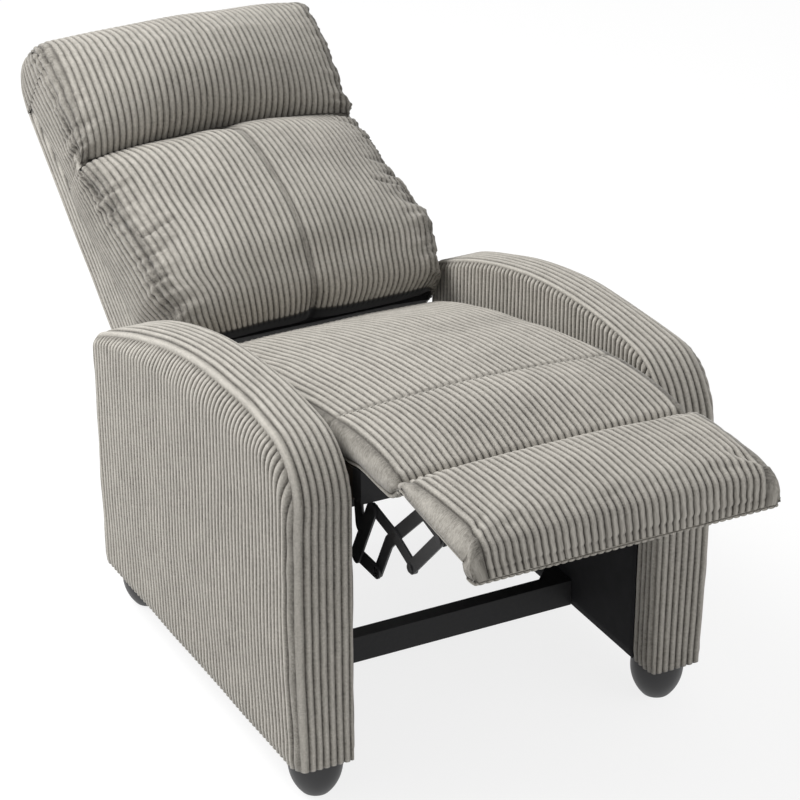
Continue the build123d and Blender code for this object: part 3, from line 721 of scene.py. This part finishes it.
def resample(field, rows, cols):
    """Cubic reading of a grid at fractional rows and wrapped fractional columns (Catmull-Rom)."""
    def along(f, at, wrap):
        i = np.floor(at).astype(int)
        t = (at - i)[:, None, None]
        a, b, c, d = (f[(i + k) % len(f)] if wrap else f[np.clip(i + k, 0, len(f) - 1)]
                      for k in (-1, 0, 1, 2))
        return b + 0.5 * t * (c - a + t * (2 * a - 5 * b + 4 * c - d + t * (3 * (b - c) + d - a)))
    return np.swapaxes(along(np.swapaxes(along(field, rows, False), 0, 1), cols, True), 0, 1)


# %% [markdown]
# All four cushions are made by one function, because they differ only in their
# sections, seams and folds. A maker would cut them from one pattern book too.

# %% One cushion
COARSE = tube_columns(*(np.linspace(0, 1, count, endpoint=False) for count in (36, 8, 3, 14)))
COARSE_ROWS = 44


def cushion(name, stations, places, lay, seams, shape, lined, wide, side_ribs, corner, hem, pressure,
            cap, side_shade):
    """A padded tube: sections swelled between seams, then ribs, gathers and valleys along the normals.

    seams(x, place, part, away) marks points that stitching holds, and shape(x, place, part, away) gives
    (extra height, rib depth factor) over the fine grid. No point goes further out than wide, and the
    cloth is smooth black lining where lined(place, part) is true. The sides get painted shade, their tone
    scaled by a factor below one, and the valleys of seams and puckers get painted shade too.
    """
    widest = max(row[4] for row in stations)
    count = round(2 * (widest - corner) / CUSHION_PITCH)
    q_top = rib_columns(count)[:-1]
    q_side = rib_columns(side_ribs)[:-1]
    q_hem = rib_columns(1)[:-1]
    fine = tube_columns(q_top / count, q_side / side_ribs, q_hem, q_top / count)
    part, share, _, order = fine

    def grid_at(place, columns):
        x, h, away = tube(stations, place, columns, corner, hem)
        y, z = lay(x, place[:, None], h)
        return np.stack(np.broadcast_arrays(x, y, z), -1), away

    grid, away = grid_at(places, fine)
    coarse_places = np.interp(np.linspace(0, 1, COARSE_ROWS), np.linspace(0, 1, len(places)), places)
    rough, rough_away = grid_at(coarse_places, COARSE)
    held = seams(rough[..., 0], coarse_places[:, None], COARSE[0][None, :], rough_away)
    held = np.broadcast_to(held, rough.shape[:2]).copy()
    held[[0, -1]] = True
    move = swell(name, rough, held, pressure, cap)
    cols = np.interp(order, np.append(COARSE[3], 6.0), np.arange(len(COARSE[3]) + 1))
    rows = np.interp(places, coarse_places, np.arange(COARSE_ROWS))
    grid = grid + resample(move, rows, cols)
    x, place = grid[..., 0], places[:, None]
    q = share * np.select([part == 1, part == 2], [side_ribs, 1], count)
    dark = lined(place, part)
    extra, depth = shape(x, place, part[None, :], away)
    depth = np.where(dark, 0.0, depth)
    sway = drift(x, place, 75.0, 41) * 0.9
    lift = extra - GROOVE * depth * (1 - rib_height(q))
    grid = grid + normals(grid) * lift[..., None]
    grid[..., 0] = np.clip(grid[..., 0] + sway * (part == 0), -wide, wide)
    rows, cols = x.shape
    across = np.concatenate([[0.0], np.cumsum(np.abs(np.diff(q)) * CUSHION_PITCH + 0.3)])
    cloth = np.stack(np.broadcast_arrays(across[None, :], place), -1).reshape(-1, 2)
    # Painted shade: the cloth is darker where seams and puckers sink in, and darker on the sides.
    valley = 0.06 * np.clip(-extra, 0, 5.0)
    pile = rib_tone_and_shade(q) * np.clip(depth, 0, 1) + 0.5 * np.clip(1 - depth, 0, 1)
    pile = np.where(part == 1, side_shade, 1.0) * np.clip(pile - valley, 0, 1)
    pile = np.where(dark, -1.0, pile)
    piece = surface(name, grid.reshape(-1, 3), tube_faces(rows, cols), CORDUROY, pile, cloth)
    return piece, grid


def spread(ends, dense, step):
    """Places from end to end: a fine step inside the dense spans, the usual step elsewhere."""
    low, high = ends
    fine = np.arange(low, high + 0.5, 1.0)
    rate = np.full(len(fine), 1.0 / step)
    for a, b, small in dense:
        rate[(fine >= a) & (fine <= b)] = 1.0 / small
    count = np.concatenate([[0.0], np.cumsum(rate[:-1])])
    return np.interp(np.linspace(0, count[-1], int(count[-1]) + 1), count, fine)


# %% [markdown]
# ### Seat
# The seat runs from under the back to a rounded nose over the footrest's hinge. A
# row of stitching crosses it, and its sides are one broad smooth rib above a hem.

# %% Seat cushion
RAIL_TOP, RAIL_SLOPE, SEAT_FRONT = 508.2, math.tan(math.radians(9.0)), -336.0
FOLD_Y, FOLD_Z, NOSE = -413.0, 525.5, 20.0
STITCH_Y = -239.0
SEAT_HALF, SEAT_CORNER = 227.0, 12.0
SEAT_VALLEY, SEAT_GATHER, SEAT_RUMPLE = 2.4, 1.8, 2.2
SEAT_LINED = -405.0


def nose_rows():
    """Half-round front end of the seat about the fold axis: height NOSE cos, reach NOSE sin."""
    turn = np.radians([86, 70, 50, 28, 0])
    reach, rise = NOSE * np.sin(turn), NOSE * np.cos(turn)
    return [(FOLD_Y - r, FOLD_Z - h, FOLD_Z + h - 1.0, c, w, 3)
            for r, h, c, w in zip(reach, rise, (1.5, 2, 2, 3, 4), (221, 223, 225, 226, 227))]


def seat_rows():
    """Stations of the seat: place, low, edge, crown, half-width and bulge."""
    tops = [(-385, 549, 8), (-337, 551, 12), (-300, 550, 14), (-262, 547.5, 13), (-246, 545, 12),
            (STITCH_Y, 544, 11), (-232, 543.5, 12), (-214, 541, 14), (-160, 531, 18), (-60, 511, 19),
            (40, 488, 17), (140, 460, 14)]
    rows = [(y, 506 if y < -350 else RAIL_TOP - (y - SEAT_FRONT) * RAIL_SLOPE, e, c, SEAT_HALF, 3)
            for y, e, c in tops]
    rear = [(200, 423.5, 442, 12, 226, 3), (235, 417.5, 430, 10, 225, 3), (252, 418, 426.5, 8, 223, 2),
            (259, 420, 424, 8, 220, 1.5)]
    return nose_rows() + rows + rear


def level(x, y, z):
    """(y, z) of a cushion that lies along the chair: unchanged."""
    return y, z


def rib_depth(part):
    """Depth of the ribs: full on top, shallow on a smooth side, shallower below."""
    return np.where(part == 0, 1.0, np.where(part == 1, 0.7, 0.5))


def seat_seams(x, place, part, away):
    """Held: the underside, the hem and the row of stitching."""
    return (part >= 2) | (np.abs(place - STITCH_Y) < 9) | (place < FOLD_Y)


def seat_shape(x, place, part, away):
    """A valley under the stitches, gathers at the nose corners, and a shallow side rib."""
    valley = -SEAT_VALLEY * bell(place - STITCH_Y, 3.6) * (part <= 1)
    gather = drift(place, away, 9.0, 51) * SEAT_GATHER * bell(place - FOLD_Y, 26.0) * bell(away, 30.0)
    rumple = drift(x, place, 95.0, 52) * SEAT_RUMPLE * (part == 0)
    return valley + gather + rumple, rib_depth(part) * (1 - 0.45 * bell(place - STITCH_Y, 6.0))


def seat_lined(y, part):
    """Lining closes the underside behind the nose."""
    return (part == 3) & (y > SEAT_LINED)


seat_places = spread((-432.9, 259.0), [(-433, -400, 2.0), (-255, -222, 2.0), (245, 259, 2.5)], 6.0)
seat, seat_grid = cushion("seat_cover", seat_rows(), seat_places, level, seat_seams, seat_shape,
                          seat_lined, wide=234.0, side_ribs=1, corner=SEAT_CORNER, hem=6.0,
                          pressure=3.0, cap=6.0, side_shade=0.7)
dress(seat, "seat", "corduroy", "seat_cushion")

# %% [markdown]
# The stitches are pale thread dashes. Each bridges one groove from crest to crest,
# which is where a sewing machine would leave it on so coarse a cloth.

# %% Seat stitches
def thread():
    """Pale twisted thread: plain tone with a fine twist in its surface."""
    material, w, shader = begin("thread", Base_Color=(0.55, 0.53, 0.48, 1.0), Roughness=0.75)
    place = w.node("TexCoord", {}, {}, "Object")
    twist = w.node("TexNoise", {}, {"Vector": place, "Scale": 900.0, "Detail": 2.0})
    plug(w, shader, Normal=w.node("Bump", {}, {"Height": twist, "Strength": 0.4, "Distance": 0.0004}))
    return material


DASH_RINGS, DASH_SIDES = 7, 8


def dashes(name, left, right, lift, radius):
    """A spindle from each left point to its right point: radius * sqrt(1 - u^2) round the raised chord."""
    u = np.linspace(-0.97, 0.97, DASH_RINGS)
    a = np.linspace(0, 2 * np.pi, DASH_SIDES, endpoint=False)
    middle, reach = (left + right) / 2 + (0, 0, lift), (right - left) / 2
    circle = np.stack([0 * a, np.cos(a), np.sin(a)], -1)
    ring = radius * np.sqrt(1 - u * u)[:, None, None] * circle[None]
    points = middle[:, None, None] + u[None, :, None, None] * reach[:, None, None] + ring[None]
    first = DASH_RINGS * DASH_SIDES * np.arange(len(left))[:, None, None]
    groups = [(faces[None] + first).reshape(-1, faces.shape[1])
              for faces in tube_faces(DASH_RINGS, DASH_SIDES)]
    return surface(name, points.reshape(-1, 3), groups, thread())


stitch_row = seat_grid[np.argmin(np.abs(seat_places - STITCH_Y))]
grooves = RIB_POINTS * np.arange(1, round(2 * (SEAT_HALF - SEAT_CORNER) / CUSHION_PITCH))
seat_stitches = dashes("seat_stitches", stitch_row[grooves - 3], stitch_row[grooves + 3], 0.6, 0.9)
dress(seat_stitches, "seat", "corduroy")

# %% [markdown]
# ### Footrest
# The pad is a shallow cushion on a board. Its ribs roll over the front edge into a
# scalloped hem, and its rear edge lies against the seat's nose.

# %% Footrest pad
UNDER_Z, UNDER_Y, UNDER_SLOPE = 526.0, -461.0, 0.1117
HEM_PLACE = -656.18
FOOT_GATHER, FOOT_RUMPLE, HEM_DEPTH = 3.0, 1.6, 3.0
FOOT_LINED = -648.0


def footrest_rows():
    """Stations from front edge to rear: the underside is a sloping line, lifted clear of the board."""
    tops = [(-656.4, -5.5, 501, 0, 223), (-656.2, -7, 511, 0.5, 225), (-655.8, -8.5, 521, 1, 227),
            (-655, -9.5, 531, 2, 228), (-652.6, -10.5, 540, 3, 229), (-648, -11, 547, 5, 230),
            (-638.2, -11, 552, 7, 231), (-637.5, 8, 552.2, 7, 231), (-620, 8, 555, 9, 232),
            (-600, 8, 556.5, 10, 232), (-540, 8, 556, 12, 232), (-480, 8, 552, 10, 232),
            (-453, 8, 548, 7, 231), (-452, 0, 547.5, 7, 231), (-440, 0, 540, 4, 227),
            (-435.5, 0, 532, 3, 222)]
    return [(y, UNDER_Z + (y - UNDER_Y) * UNDER_SLOPE + lift, e, c, w, 4)
            for y, lift, e, c, w in tops]


def footrest_seams(x, place, part, away):
    """Held: the underside and the hem."""
    return part >= 2


def footrest_shape(x, place, part, away):
    """Gathers at the corners, a little rumple and the groove of the hem."""
    ends = bell(place + 452, 20.0) + bell(place + 640, 16.0)
    gather = (drift(place, away, 10.0, 61) - 0.3) * FOOT_GATHER * ends * bell(away, 30.0)
    rumple = drift(x, place, 80.0, 62) * FOOT_RUMPLE * (part == 0)
    hem = -HEM_DEPTH * bell(place - HEM_PLACE, 0.1) * (part == 0)
    return gather + rumple + hem, rib_depth(part)


def footrest_lined(y, part):
    """Lining closes the underside behind the front lip."""
    return (part == 3) & (y > FOOT_LINED)


foot_places = np.concatenate([
    np.linspace(-656.4, -655.1, 13), np.linspace(-655.0, -649.0, 8),
    spread((-648.0, -435.5), [(-648, -630, 1.4), (-456, -435, 1.8)], 5.0)])
footrest, _ = cushion("footrest_cover", footrest_rows(), foot_places, level, footrest_seams,
                      footrest_shape, footrest_lined, wide=236.0, side_ribs=1, corner=17.0, hem=5.0,
                      pressure=3.0, cap=4.0, side_shade=0.8)
dress(footrest, "footrest", "corduroy", "footrest_pad")

# %% [markdown]
# ### Back cushions
# Two fat cushions cover the back: a lumbar cushion with a seam down its middle and
# a dart at each side, and a head cushion that rolls over the top. Their side seams
# are gathered, which puckers the cloth in short folds across the ribs.

# %% Lumbar and head cushions
FRAME_T = 118.0
HEAD_END = 468.0
LUMBAR_ROWS = [(-157, 180, 186, 3, 204, 2), (-155, 168, 198, 6, 212, 3),
               (-148, 140, 217, 13, 222, 4), (-137, 124, 230, 18, 228, 4),
               (-108, FRAME_T, 241, 24, 231, 4), (-64, FRAME_T, 241, 39, 243, 4, 8),
               (-16, FRAME_T, 226, 58, 245, 3, 14), (45, FRAME_T, 197, 77, 245.5, 3, 26),
               (110, FRAME_T, 170, 85, 245, 3, 44), (150, FRAME_T, 158, 78, 245, 3, 50),
               (180, FRAME_T, 149, 60, 245, 3, 54), (205, FRAME_T, 139, 30, 244.5, 2, 56),
               (222, FRAME_T, 128, 8, 243, 2, 56)]
HEAD_ROWS = [(223.5, FRAME_T, 128, 8, 240, 2, 56), (234, FRAME_T, 139, 34, 240, 2, 58),
             (250, FRAME_T, 148, 48, 240, 2, 61), (275, FRAME_T, 154, 59, 240, 2, 66),
             (310, FRAME_T, 157, 66, 240, 2, 74), (364, FRAME_T, 157, 61, 240, 2, 85),
             (392.2, FRAME_T, 155, 47, 240, 2, 91), (392.8, 2, 155, 47, 240, 2), (425, 6, 147, 20, 239, 2),
             (450, 22, 118, 9, 236, 2), (460, 36, 93, 7, 232, 2), (465, 49, 76.5, 4.5, 227, 1.5),
             (HEAD_END - 0.5, 58.5, 67.5, 1.5, 221, 0.5), (HEAD_END, 61.5, 64.5, 0.3, 217, 0.2)]
DART_X, DART_S = (168.0, 214.0), (38.0, 31.0)
STRIP = 3.5
ARCH, ARCH_S, ARCH_HALF, ARCH_FADE = 9.0, 222.7, 240.0, 75.0
SEAM_DEPTH, SEAM_WIDTH = 5.0, 3.2
MIDDLE_DEPTH, PINCH_DEPTH, DART_DEPTH, BACK_RUMPLE = 3.0, 6.0, 4.0, 2.0
LUMBAR_FOLDS, HEAD_FOLDS, CORNER_FOLDS = 5.0, 3.6, 5.0
LUMBAR_BLACK_BELOW = -153.0


def arched(x, s, t):
    """(y, z) on the back, the seam between its cushions arched: up in the middle, down at the flanks."""
    rise = ARCH * (1 - 2 * (np.abs(x) / ARCH_HALF) ** 4)
    return on_back(s + rise * bell(s - ARCH_S, ARCH_FADE), t)


def puckers(x, place, away, seed):
    """Short folds at a gathered seam: noise, quick along it and slow away from it, fading to both sides."""
    along = place + 300.0 * (x < 0)
    folds = (0.8 * drift(along, away * 0.22, 10.0, seed)
             + 0.5 * drift(along, away * 0.3, 6.0, seed + 1) - 0.3)
    return folds * np.where(away < 0, bell(away, 40.0), bell(away, 24.0))


def seam_in(place):
    """How far the lumbar side seam lies in from the flank: most halfway up, little at both ends."""
    return 6.0 + 24.0 * bell(place - 30.0, 110.0)


def lumbar_seams(x, place, part, away):
    """Held: the back, the middle seam and both side seams."""
    return (part >= 2) | ((part == 0) & (np.abs(x) < 9)) | (np.abs(away + seam_in(place)) < 7)


def lumbar_shape(x, place, part, away):
    """Middle seam, side seams with puckers, darts, and pinches where the middle seam ends."""
    away = away + seam_in(place)
    seam = -SEAM_DEPTH * bell(away, SEAM_WIDTH)
    folds = puckers(x, place, away, 71) * LUMBAR_FOLDS
    middle = -MIDDLE_DEPTH * bell(x, 1.6 * STRIP) * (part == 0)
    ends = bell(place - 205.0, 26.0) + 0.7 * bell(place + 146.0, 16.0)
    pinch = -PINCH_DEPTH * bell(x, 22.0) * ends * (part == 0)
    line = np.interp(np.abs(x), DART_X, DART_S)
    fade = ease((np.abs(x) - DART_X[0] + 4.0) / 14.0) * ease(-away / 8.0)
    dart = -DART_DEPTH * bell(place - line, 3.6) * fade
    rumple = drift(x, place, 70.0, 73) * BACK_RUMPLE * (part <= 1)
    depth = np.where(part == 1, 0.95, 0.76) * (1 - 0.25 * bell(away + 20.0, 26.0))
    depth = depth * (1 - 0.7 * bell(x, STRIP) * (part == 0))
    return seam + folds + middle + pinch + dart + rumple, depth


def lumbar_room(s):
    """Half-width left for the cushion: between the arms at its foot, free above them."""
    return 236.0 + 15.0 * ease((s + 104.0) / 30.0)


def lumbar_black(s, part):
    """Black in the lining's tone: the rear, and the lowest edge below a place along the back."""
    return (s < LUMBAR_BLACK_BELOW) | (part == 3)


lumbar_places = spread((-157.0, 222.0), [(-157, -144, 1.5), (195, 222, 2.6)], 3.9)
lumbar, _ = cushion("lumbar_cover", LUMBAR_ROWS, lumbar_places, arched, lumbar_seams, lumbar_shape,
                    lumbar_black, wide=lumbar_room(lumbar_places)[:, None], side_ribs=11, corner=24.0,
                    hem=4.0, pressure=4.0, cap=7.0, side_shade=0.6)
dress(lumbar, "back", "corduroy", "lumbar_cushion")


def head_seams(x, place, part, away):
    """Held: the back and both side seams."""
    return (part >= 2) | (np.abs(away) < 7)


def head_shape(x, place, part, away):
    """Side seams with puckers, all fading out where the cushion closes behind the top."""
    seam = -SEAM_DEPTH * bell(away, SEAM_WIDTH)
    low = bell(place - 240.0, 45.0)
    folds = puckers(x, place, away, 81) * (HEAD_FOLDS + CORNER_FOLDS * low)
    rumple = drift(x, place, 75.0, 83) * BACK_RUMPLE * (part <= 1)
    open_ = 1 - 0.9 * bell(place - HEAD_END, 5.0)
    depth = np.where(part == 1, 0.95, 0.72) * (1 - 0.2 * bell(away + 15.0, 24.0)) * open_
    return (seam + folds + rumple) * open_, depth


def head_lined(s, part):
    """No lining: corduroy all round."""
    return np.zeros(np.broadcast(s, part).shape, bool)


head_places = np.concatenate([
    spread((223.5, 464.0), [(223, 255, 2.2), (385, 400, 1.2), (420, 464, 2.0)], 4.2),
    [465.0, 466.0, 466.8, 467.4, 467.8, HEAD_END]])
head, _ = cushion("head_cover", HEAD_ROWS, head_places, arched, head_seams, head_shape, head_lined,
                  wide=248.0, side_ribs=10, corner=20.0, hem=4.0, pressure=4.0, cap=4.0, side_shade=0.6)
dress(head, "back", "corduroy", "head_cushion")

# %% [markdown]
# ### Back shell
# The sides and rear of the back are one cover pulled round the frame, with ribs that
# run up the back. Its section is a U: two sides and a rear face with round corners.

# %% Back shell
SHELL_HALF, SHELL_ROUND, SHELL_THICK = 234.5, 10.0, 6.0
SHELL_FLARE, SHELL_SWELL = 6.0, 6.0
SHELL_GROOVE, SHELL_TONE = 0.6 * GROOVE, 0.8
SHELL_ENDS = (-144.0, 391.5)
SKIRT_S, SKIRT_T = (223.5, 392.2), (62.0, 27.0)


def u_section(length, half, round_, front):
    """Point and outward normal at a length along a U: side, corner arc, rear, corner arc, side."""
    side, turn, rear = front - round_, round_ * math.pi / 2, 2 * (half - round_)
    marks = np.cumsum([0.0, side, turn, rear, turn, side])
    lean = np.interp(length, marks, np.radians([180, 180, 270, 270, 360, 360]))
    cx = np.interp(length, marks[2:4], [round_ - half, half - round_])
    ct = round_ + np.clip(side - length, 0, None) + np.clip(length - marks[4], 0, None)
    return cx, ct, lean, marks[-1]


def back_shell():
    """U section carried along the back, closed by a smooth inner wall."""
    total = u_section(np.zeros(1), SHELL_HALF, SHELL_ROUND, FRAME_T)[3]
    count = round(total / PITCH)
    q = rib_columns(count)
    cx, ct, lean, _ = u_section(q / count * total, SHELL_HALF, SHELL_ROUND, FRAME_T)
    places = spread(SHELL_ENDS, [(-144, -132, 2.5)], 9.0)
    hem = roll(places - places[0] + 1.0, 5.0)[:, None]
    soft = drift(q[None, :] * PITCH, places[:, None], 80.0, 91) * 0.8
    out = SHELL_ROUND - SHELL_GROOVE * (1 - rib_height(q))[None, :] - hem + soft - 0.8
    inner = np.full((len(places), 1), SHELL_ROUND - SHELL_THICK)
    x, t = (np.concatenate([core + out * way, (core + inner * way)[:, ::-RIB_POINTS]], 1)
            for core, way in ((cx, np.cos(lean)), (ct, np.sin(lean))))
    skirt_end = np.interp(places, SKIRT_S, SKIRT_T)[:, None]
    under_head = ease((places[:, None] - 205.0) / 25.0) * ease((t - skirt_end + 12.0) / 10.0)
    full = ease((places[:, None] + 110.0) / 50.0) * (1 - under_head)
    x = x * (1 + SHELL_FLARE / SHELL_HALF * full)
    t = t - SHELL_SWELL * full * ease(1 - t / 60.0)
    y, z = on_back(places[:, None], t)
    rows, cols = x.shape
    pile = np.zeros((rows, cols))
    pile[:, :len(q)] = SHELL_TONE * rib_tone_and_shade(q)
    across = np.arange(cols) * PITCH / RIB_POINTS
    cloth = np.stack(np.broadcast_arrays(across[None, :], places[:, None]), -1).reshape(-1, 2)
    return surface("back_shell_cover", np.stack([x, y, z], -1).reshape(-1, 3),
                   tube_faces(rows, cols), CORDUROY, pile, cloth)


shell = back_shell()
dress(shell, "back", "corduroy", "back_rear_panel", "left_back_side_panel", "right_back_side_panel")

# %% [markdown]
# ## Linings
# Black cloth closes the inner sides of the arms below the seat and the bottom of the
# back. Each is a thin taut sheet with a faint ripple.

# %% Lining cloth
def lining_cloth():
    """Near black plain weave: fine noise for the threads, coarse noise for a little dust."""
    material, w, shader = begin("lining_cloth", Roughness=0.85, Specular_IOR_Level=0.25)
    place = w.node("TexCoord", {}, {}, "Object")
    dust = w.node("TexNoise", {}, {"Vector": place, "Scale": 40.0, "Detail": 4.0})
    thread = w.node("TexNoise", {}, {"Vector": place, "Scale": 900.0, "Detail": 2.0})
    blacks = [(0.3, (0.006, 0.006, 0.007)), (0.8, (0.016, 0.016, 0.018))]
    colour = w.node("ValToRGB", {"stops": blacks}, {"Fac": dust * 0.6 + thread * 0.4})
    bump = w.node("Bump", {}, {"Height": thread, "Strength": 0.3, "Distance": 0.0006})
    plug(w, shader, Base_Color=colour, Normal=bump)
    return material


LINING = lining_cloth()
SHEET_THICK = 1.2
SHEET_U, SHEET_V = np.meshgrid(np.linspace(0, 1, 60), np.linspace(0, 1, 30))
SHEET_FADE = np.sin(np.pi * SHEET_U) * np.sin(np.pi * SHEET_V)
LINING_FOOT = ARM_FOOT + 2.0


def thin_sheet(name, front, behind):
    """Closed sheet: a front grid, its copy behind and walls round the border."""
    rows, cols = front.shape[:2]
    rim, far, faces = rim_of(rows, cols), rows * cols, quads(rows, cols)
    return surface(name, np.concatenate([front.reshape(-1, 3), behind.reshape(-1, 3)]),
                   [faces, faces[:, ::-1] + far, walls_between(rim, rim + far)[:, ::-1]], LINING)


def taut_sheet(name, corner, across, along, out, ripple, seed):
    """Sheet at corner + u * across + v * along, with smooth ripples along out that fade at its edges."""
    base = corner + SHEET_U[..., None] * across + SHEET_V[..., None] * along
    wave = drift(SHEET_U * 600, SHEET_V * 300, 90.0, seed) * ripple * SHEET_FADE
    front, behind = (base + (wave[..., None] + half) * out
                     for half in (SHEET_THICK / 2, -SHEET_THICK / 2))
    return thin_sheet(name, front, behind)


def arm_lining(side, name):
    """Sheet inside an arm: upright columns up to the line where the corduroy starts."""
    y = LINING_FRONT + SHEET_U * (LINING_REAR - LINING_FRONT)
    z = LINING_FOOT + SHEET_V * (lining_top(y) - LINING_FOOT)
    x = ARM_INNER + SHEET_THICK + drift(y, z, 110.0, 95) * 0.9 * SHEET_FADE
    front, behind = (np.stack([depth * side, y, z], -1) for depth in (x, x + SHEET_THICK))
    return thin_sheet(name, front, behind)


for word, side in (("left", 1), ("right", -1)):
    lining = dress(arm_lining(side, f"{word}_arm_lining_cloth"), "base", "lining", "arm_linings")

bottom = np.array(on_back(-143.0, 10.0))
rise = np.array(on_back(-143.0, 117.0)) - bottom
under_back = taut_sheet("back_bottom_cloth", np.array([-228.0, *bottom]), np.array([456.0, 0.0, 0.0]),
                        np.array([0.0, *rise]),
                        np.array([0.0, math.cos(BACK_ANGLE), math.sin(BACK_ANGLE)]), 1.5, 97)
dress(under_back, "back", "lining", "back_bottom_lining")

# %% [markdown]
# ## Frame finishes
# The CAD pieces keep their shapes. Each gets the finish of its slot: brown stained
# pine, black stained timber, moulded plastic, black powder coat or dark zinc.

# %% Timber, plastic and metal
def timber(name, pale, dark, rough):
    """Grain: noise stretched along the chair's length, with finer noise for pores."""
    material, w, shader = begin(name, Specular_IOR_Level=0.3)
    place = w.node("TexCoord", {}, {}, "Object")
    stretched = w.node("Mapping", {}, {"Vector": place, "Scale": (1.0, 0.08, 1.0)})
    grain = w.node("TexNoise", {}, {"Vector": stretched, "Scale": 90.0, "Detail": 5.0,
                                    "Distortion": 0.6})
    pores = w.node("TexNoise", {}, {"Vector": stretched, "Scale": 600.0, "Detail": 2.0})
    tone = grain * 0.8 + pores * 0.2
    colour = w.node("ValToRGB", {"stops": [(0.3, dark), (0.7, pale)]}, {"Fac": tone})
    bump = w.node("Bump", {}, {"Height": tone, "Strength": 0.25, "Distance": 0.0008})
    plug(w, shader, Base_Color=colour, Roughness=tone * 0.25 + rough, Normal=bump)
    return material


def moulded(name, dark, pale, rough, grit, **constants):
    """Moulded or coated skin: fine orange peel, faint cloudiness and slightly worn tone."""
    material, w, shader = begin(name, **constants)
    place = w.node("TexCoord", {}, {}, "Object")
    peel = w.node("TexNoise", {}, {"Vector": place, "Scale": grit, "Detail": 2.0})
    cloud = w.node("TexNoise", {}, {"Vector": place, "Scale": 30.0, "Detail": 4.0})
    colour = w.node("ValToRGB", {"stops": [(0.25, dark), (0.75, pale)]},
                    {"Fac": cloud * 0.7 + peel * 0.3})
    bump = w.node("Bump", {}, {"Height": peel, "Strength": 0.2, "Distance": 0.0004})
    plug(w, shader, Base_Color=colour, Roughness=cloud * 0.2 + rough, Normal=bump)
    return material


FINISHES = {
    "timber": timber("timber", (0.06, 0.045, 0.032), (0.03, 0.022, 0.016), 0.5),
    "stained_timber": timber("stained_timber", (0.02, 0.02, 0.021), (0.008, 0.008, 0.009), 0.45),
    "foot_plastic": moulded("foot_plastic", (0.014, 0.014, 0.015), (0.026, 0.026, 0.028), 0.35, 900.0),
    "black_steel": moulded("black_steel", (0.007, 0.007, 0.008), (0.016, 0.016, 0.017), 0.38, 1400.0),
    "zinc": moulded("zinc", (0.05, 0.05, 0.052), (0.09, 0.09, 0.093), 0.3, 700.0, Metallic=1.0),
    "lining": LINING,
    "corduroy": CORDUROY,
}
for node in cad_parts.values():
    for holder in node.material_slots:
        holder.material = FINISHES[holder.material.name.split(".")[0]]
print("finishes:", ", ".join(FINISHES))

# %% [markdown]
# ## Floor and light
# A pale floor, a bright even sky and two large soft lamps stand in for a photographer's
# white cove. The floor and sky look white to the camera, while the lamps stay at a
# level where the cloth keeps its written colour.

# %% Floor, sky and lamps
FLOOR_HALF = 6000.0


def seen_directly(w):
    """One where the camera, a reflection or a view through something looks, else nought."""
    rays = [w.node("LightPath", {}, {}, f"Is {kind} Ray") for kind in ("Camera", "Glossy", "Transmission")]
    return w.sums("MAXIMUM", w.sums("MAXIMUM", rays[0], rays[1]), rays[2])


def make_floor(glow):
    """Flat square of pale floor: part of its white is its own, so its shadow is faint."""
    line = np.linspace(-FLOOR_HALF, FLOOR_HALF, 3)
    u, v = np.meshgrid(line, line)
    points = np.stack([u, v, 0 * u], -1).reshape(-1, 3)
    material, w, shader = begin("pale_floor", Roughness=0.9, Specular_IOR_Level=0.1)
    place = w.node("TexCoord", {}, {}, "Object")
    cloud = w.node("TexNoise", {}, {"Vector": place, "Scale": 2.0})
    pales = [(0.0, (0.86, 0.86, 0.86)), (1.0, (0.88, 0.88, 0.88))]
    colour = w.node("ValToRGB", {"stops": pales}, {"Fac": cloud})
    plug(w, shader, Base_Color=colour)
    white = w.node("Emission", {}, {"Color": (1.0, 1.0, 1.0, 1.0), "Strength": 1.14})
    mixed = w.node("MixShader", {}, {0: seen_directly(w) * glow, 1: Wire(w.tree, shader.outputs[0]),
                                     2: white})
    w.tree.links.new(mixed.socket, w.tree.nodes["Material Output"].inputs["Surface"])
    floor = surface("floor", points, [quads(3, 3)], material)


def make_sky(level):
    """Even white sky: plain light for the object, full white for the camera."""
    world = bpy.data.worlds.new("studio")
    bpy.context.scene.world = world
    world.use_nodes = True
    w = Wire(world.node_tree)
    sky = world.node_tree.nodes["Background"].inputs
    sky["Color"].default_value = (1.0, 1.0, 1.0, 1.0)
    w.tree.links.new((seen_directly(w) * (1.0 - level) + level).socket, sky["Strength"])


def make_lamp(name, place, target, size, power):
    """Square area lamp turned from its place towards a target."""
    data = bpy.data.lights.new(name, "AREA")
    data.size, data.energy = size, power
    lamp = bpy.data.objects.new(name, data)
    lamp.location = place
    away = np.array(place) - np.array(target)
    lamp.rotation_euler = (math.atan2(math.hypot(away[0], away[1]), away[2]), 0.0,
                           math.atan2(away[0], -away[1]))
    bpy.context.scene.collection.objects.link(lamp)
    print(name, "lamp:", power, "W")


make_floor(glow=0.72)
make_sky(level=0.40)
make_lamp("key", place=(-1.8, 1.25, 3.15), target=(0.0, 0.0, 0.4), size=2.4, power=126.0)
make_lamp("fill", place=(1.6, -2.6, 2.4), target=(0.0, 0.0, 0.4), size=2.4, power=14.0)
bpy.context.scene.view_settings.view_transform = "Standard"
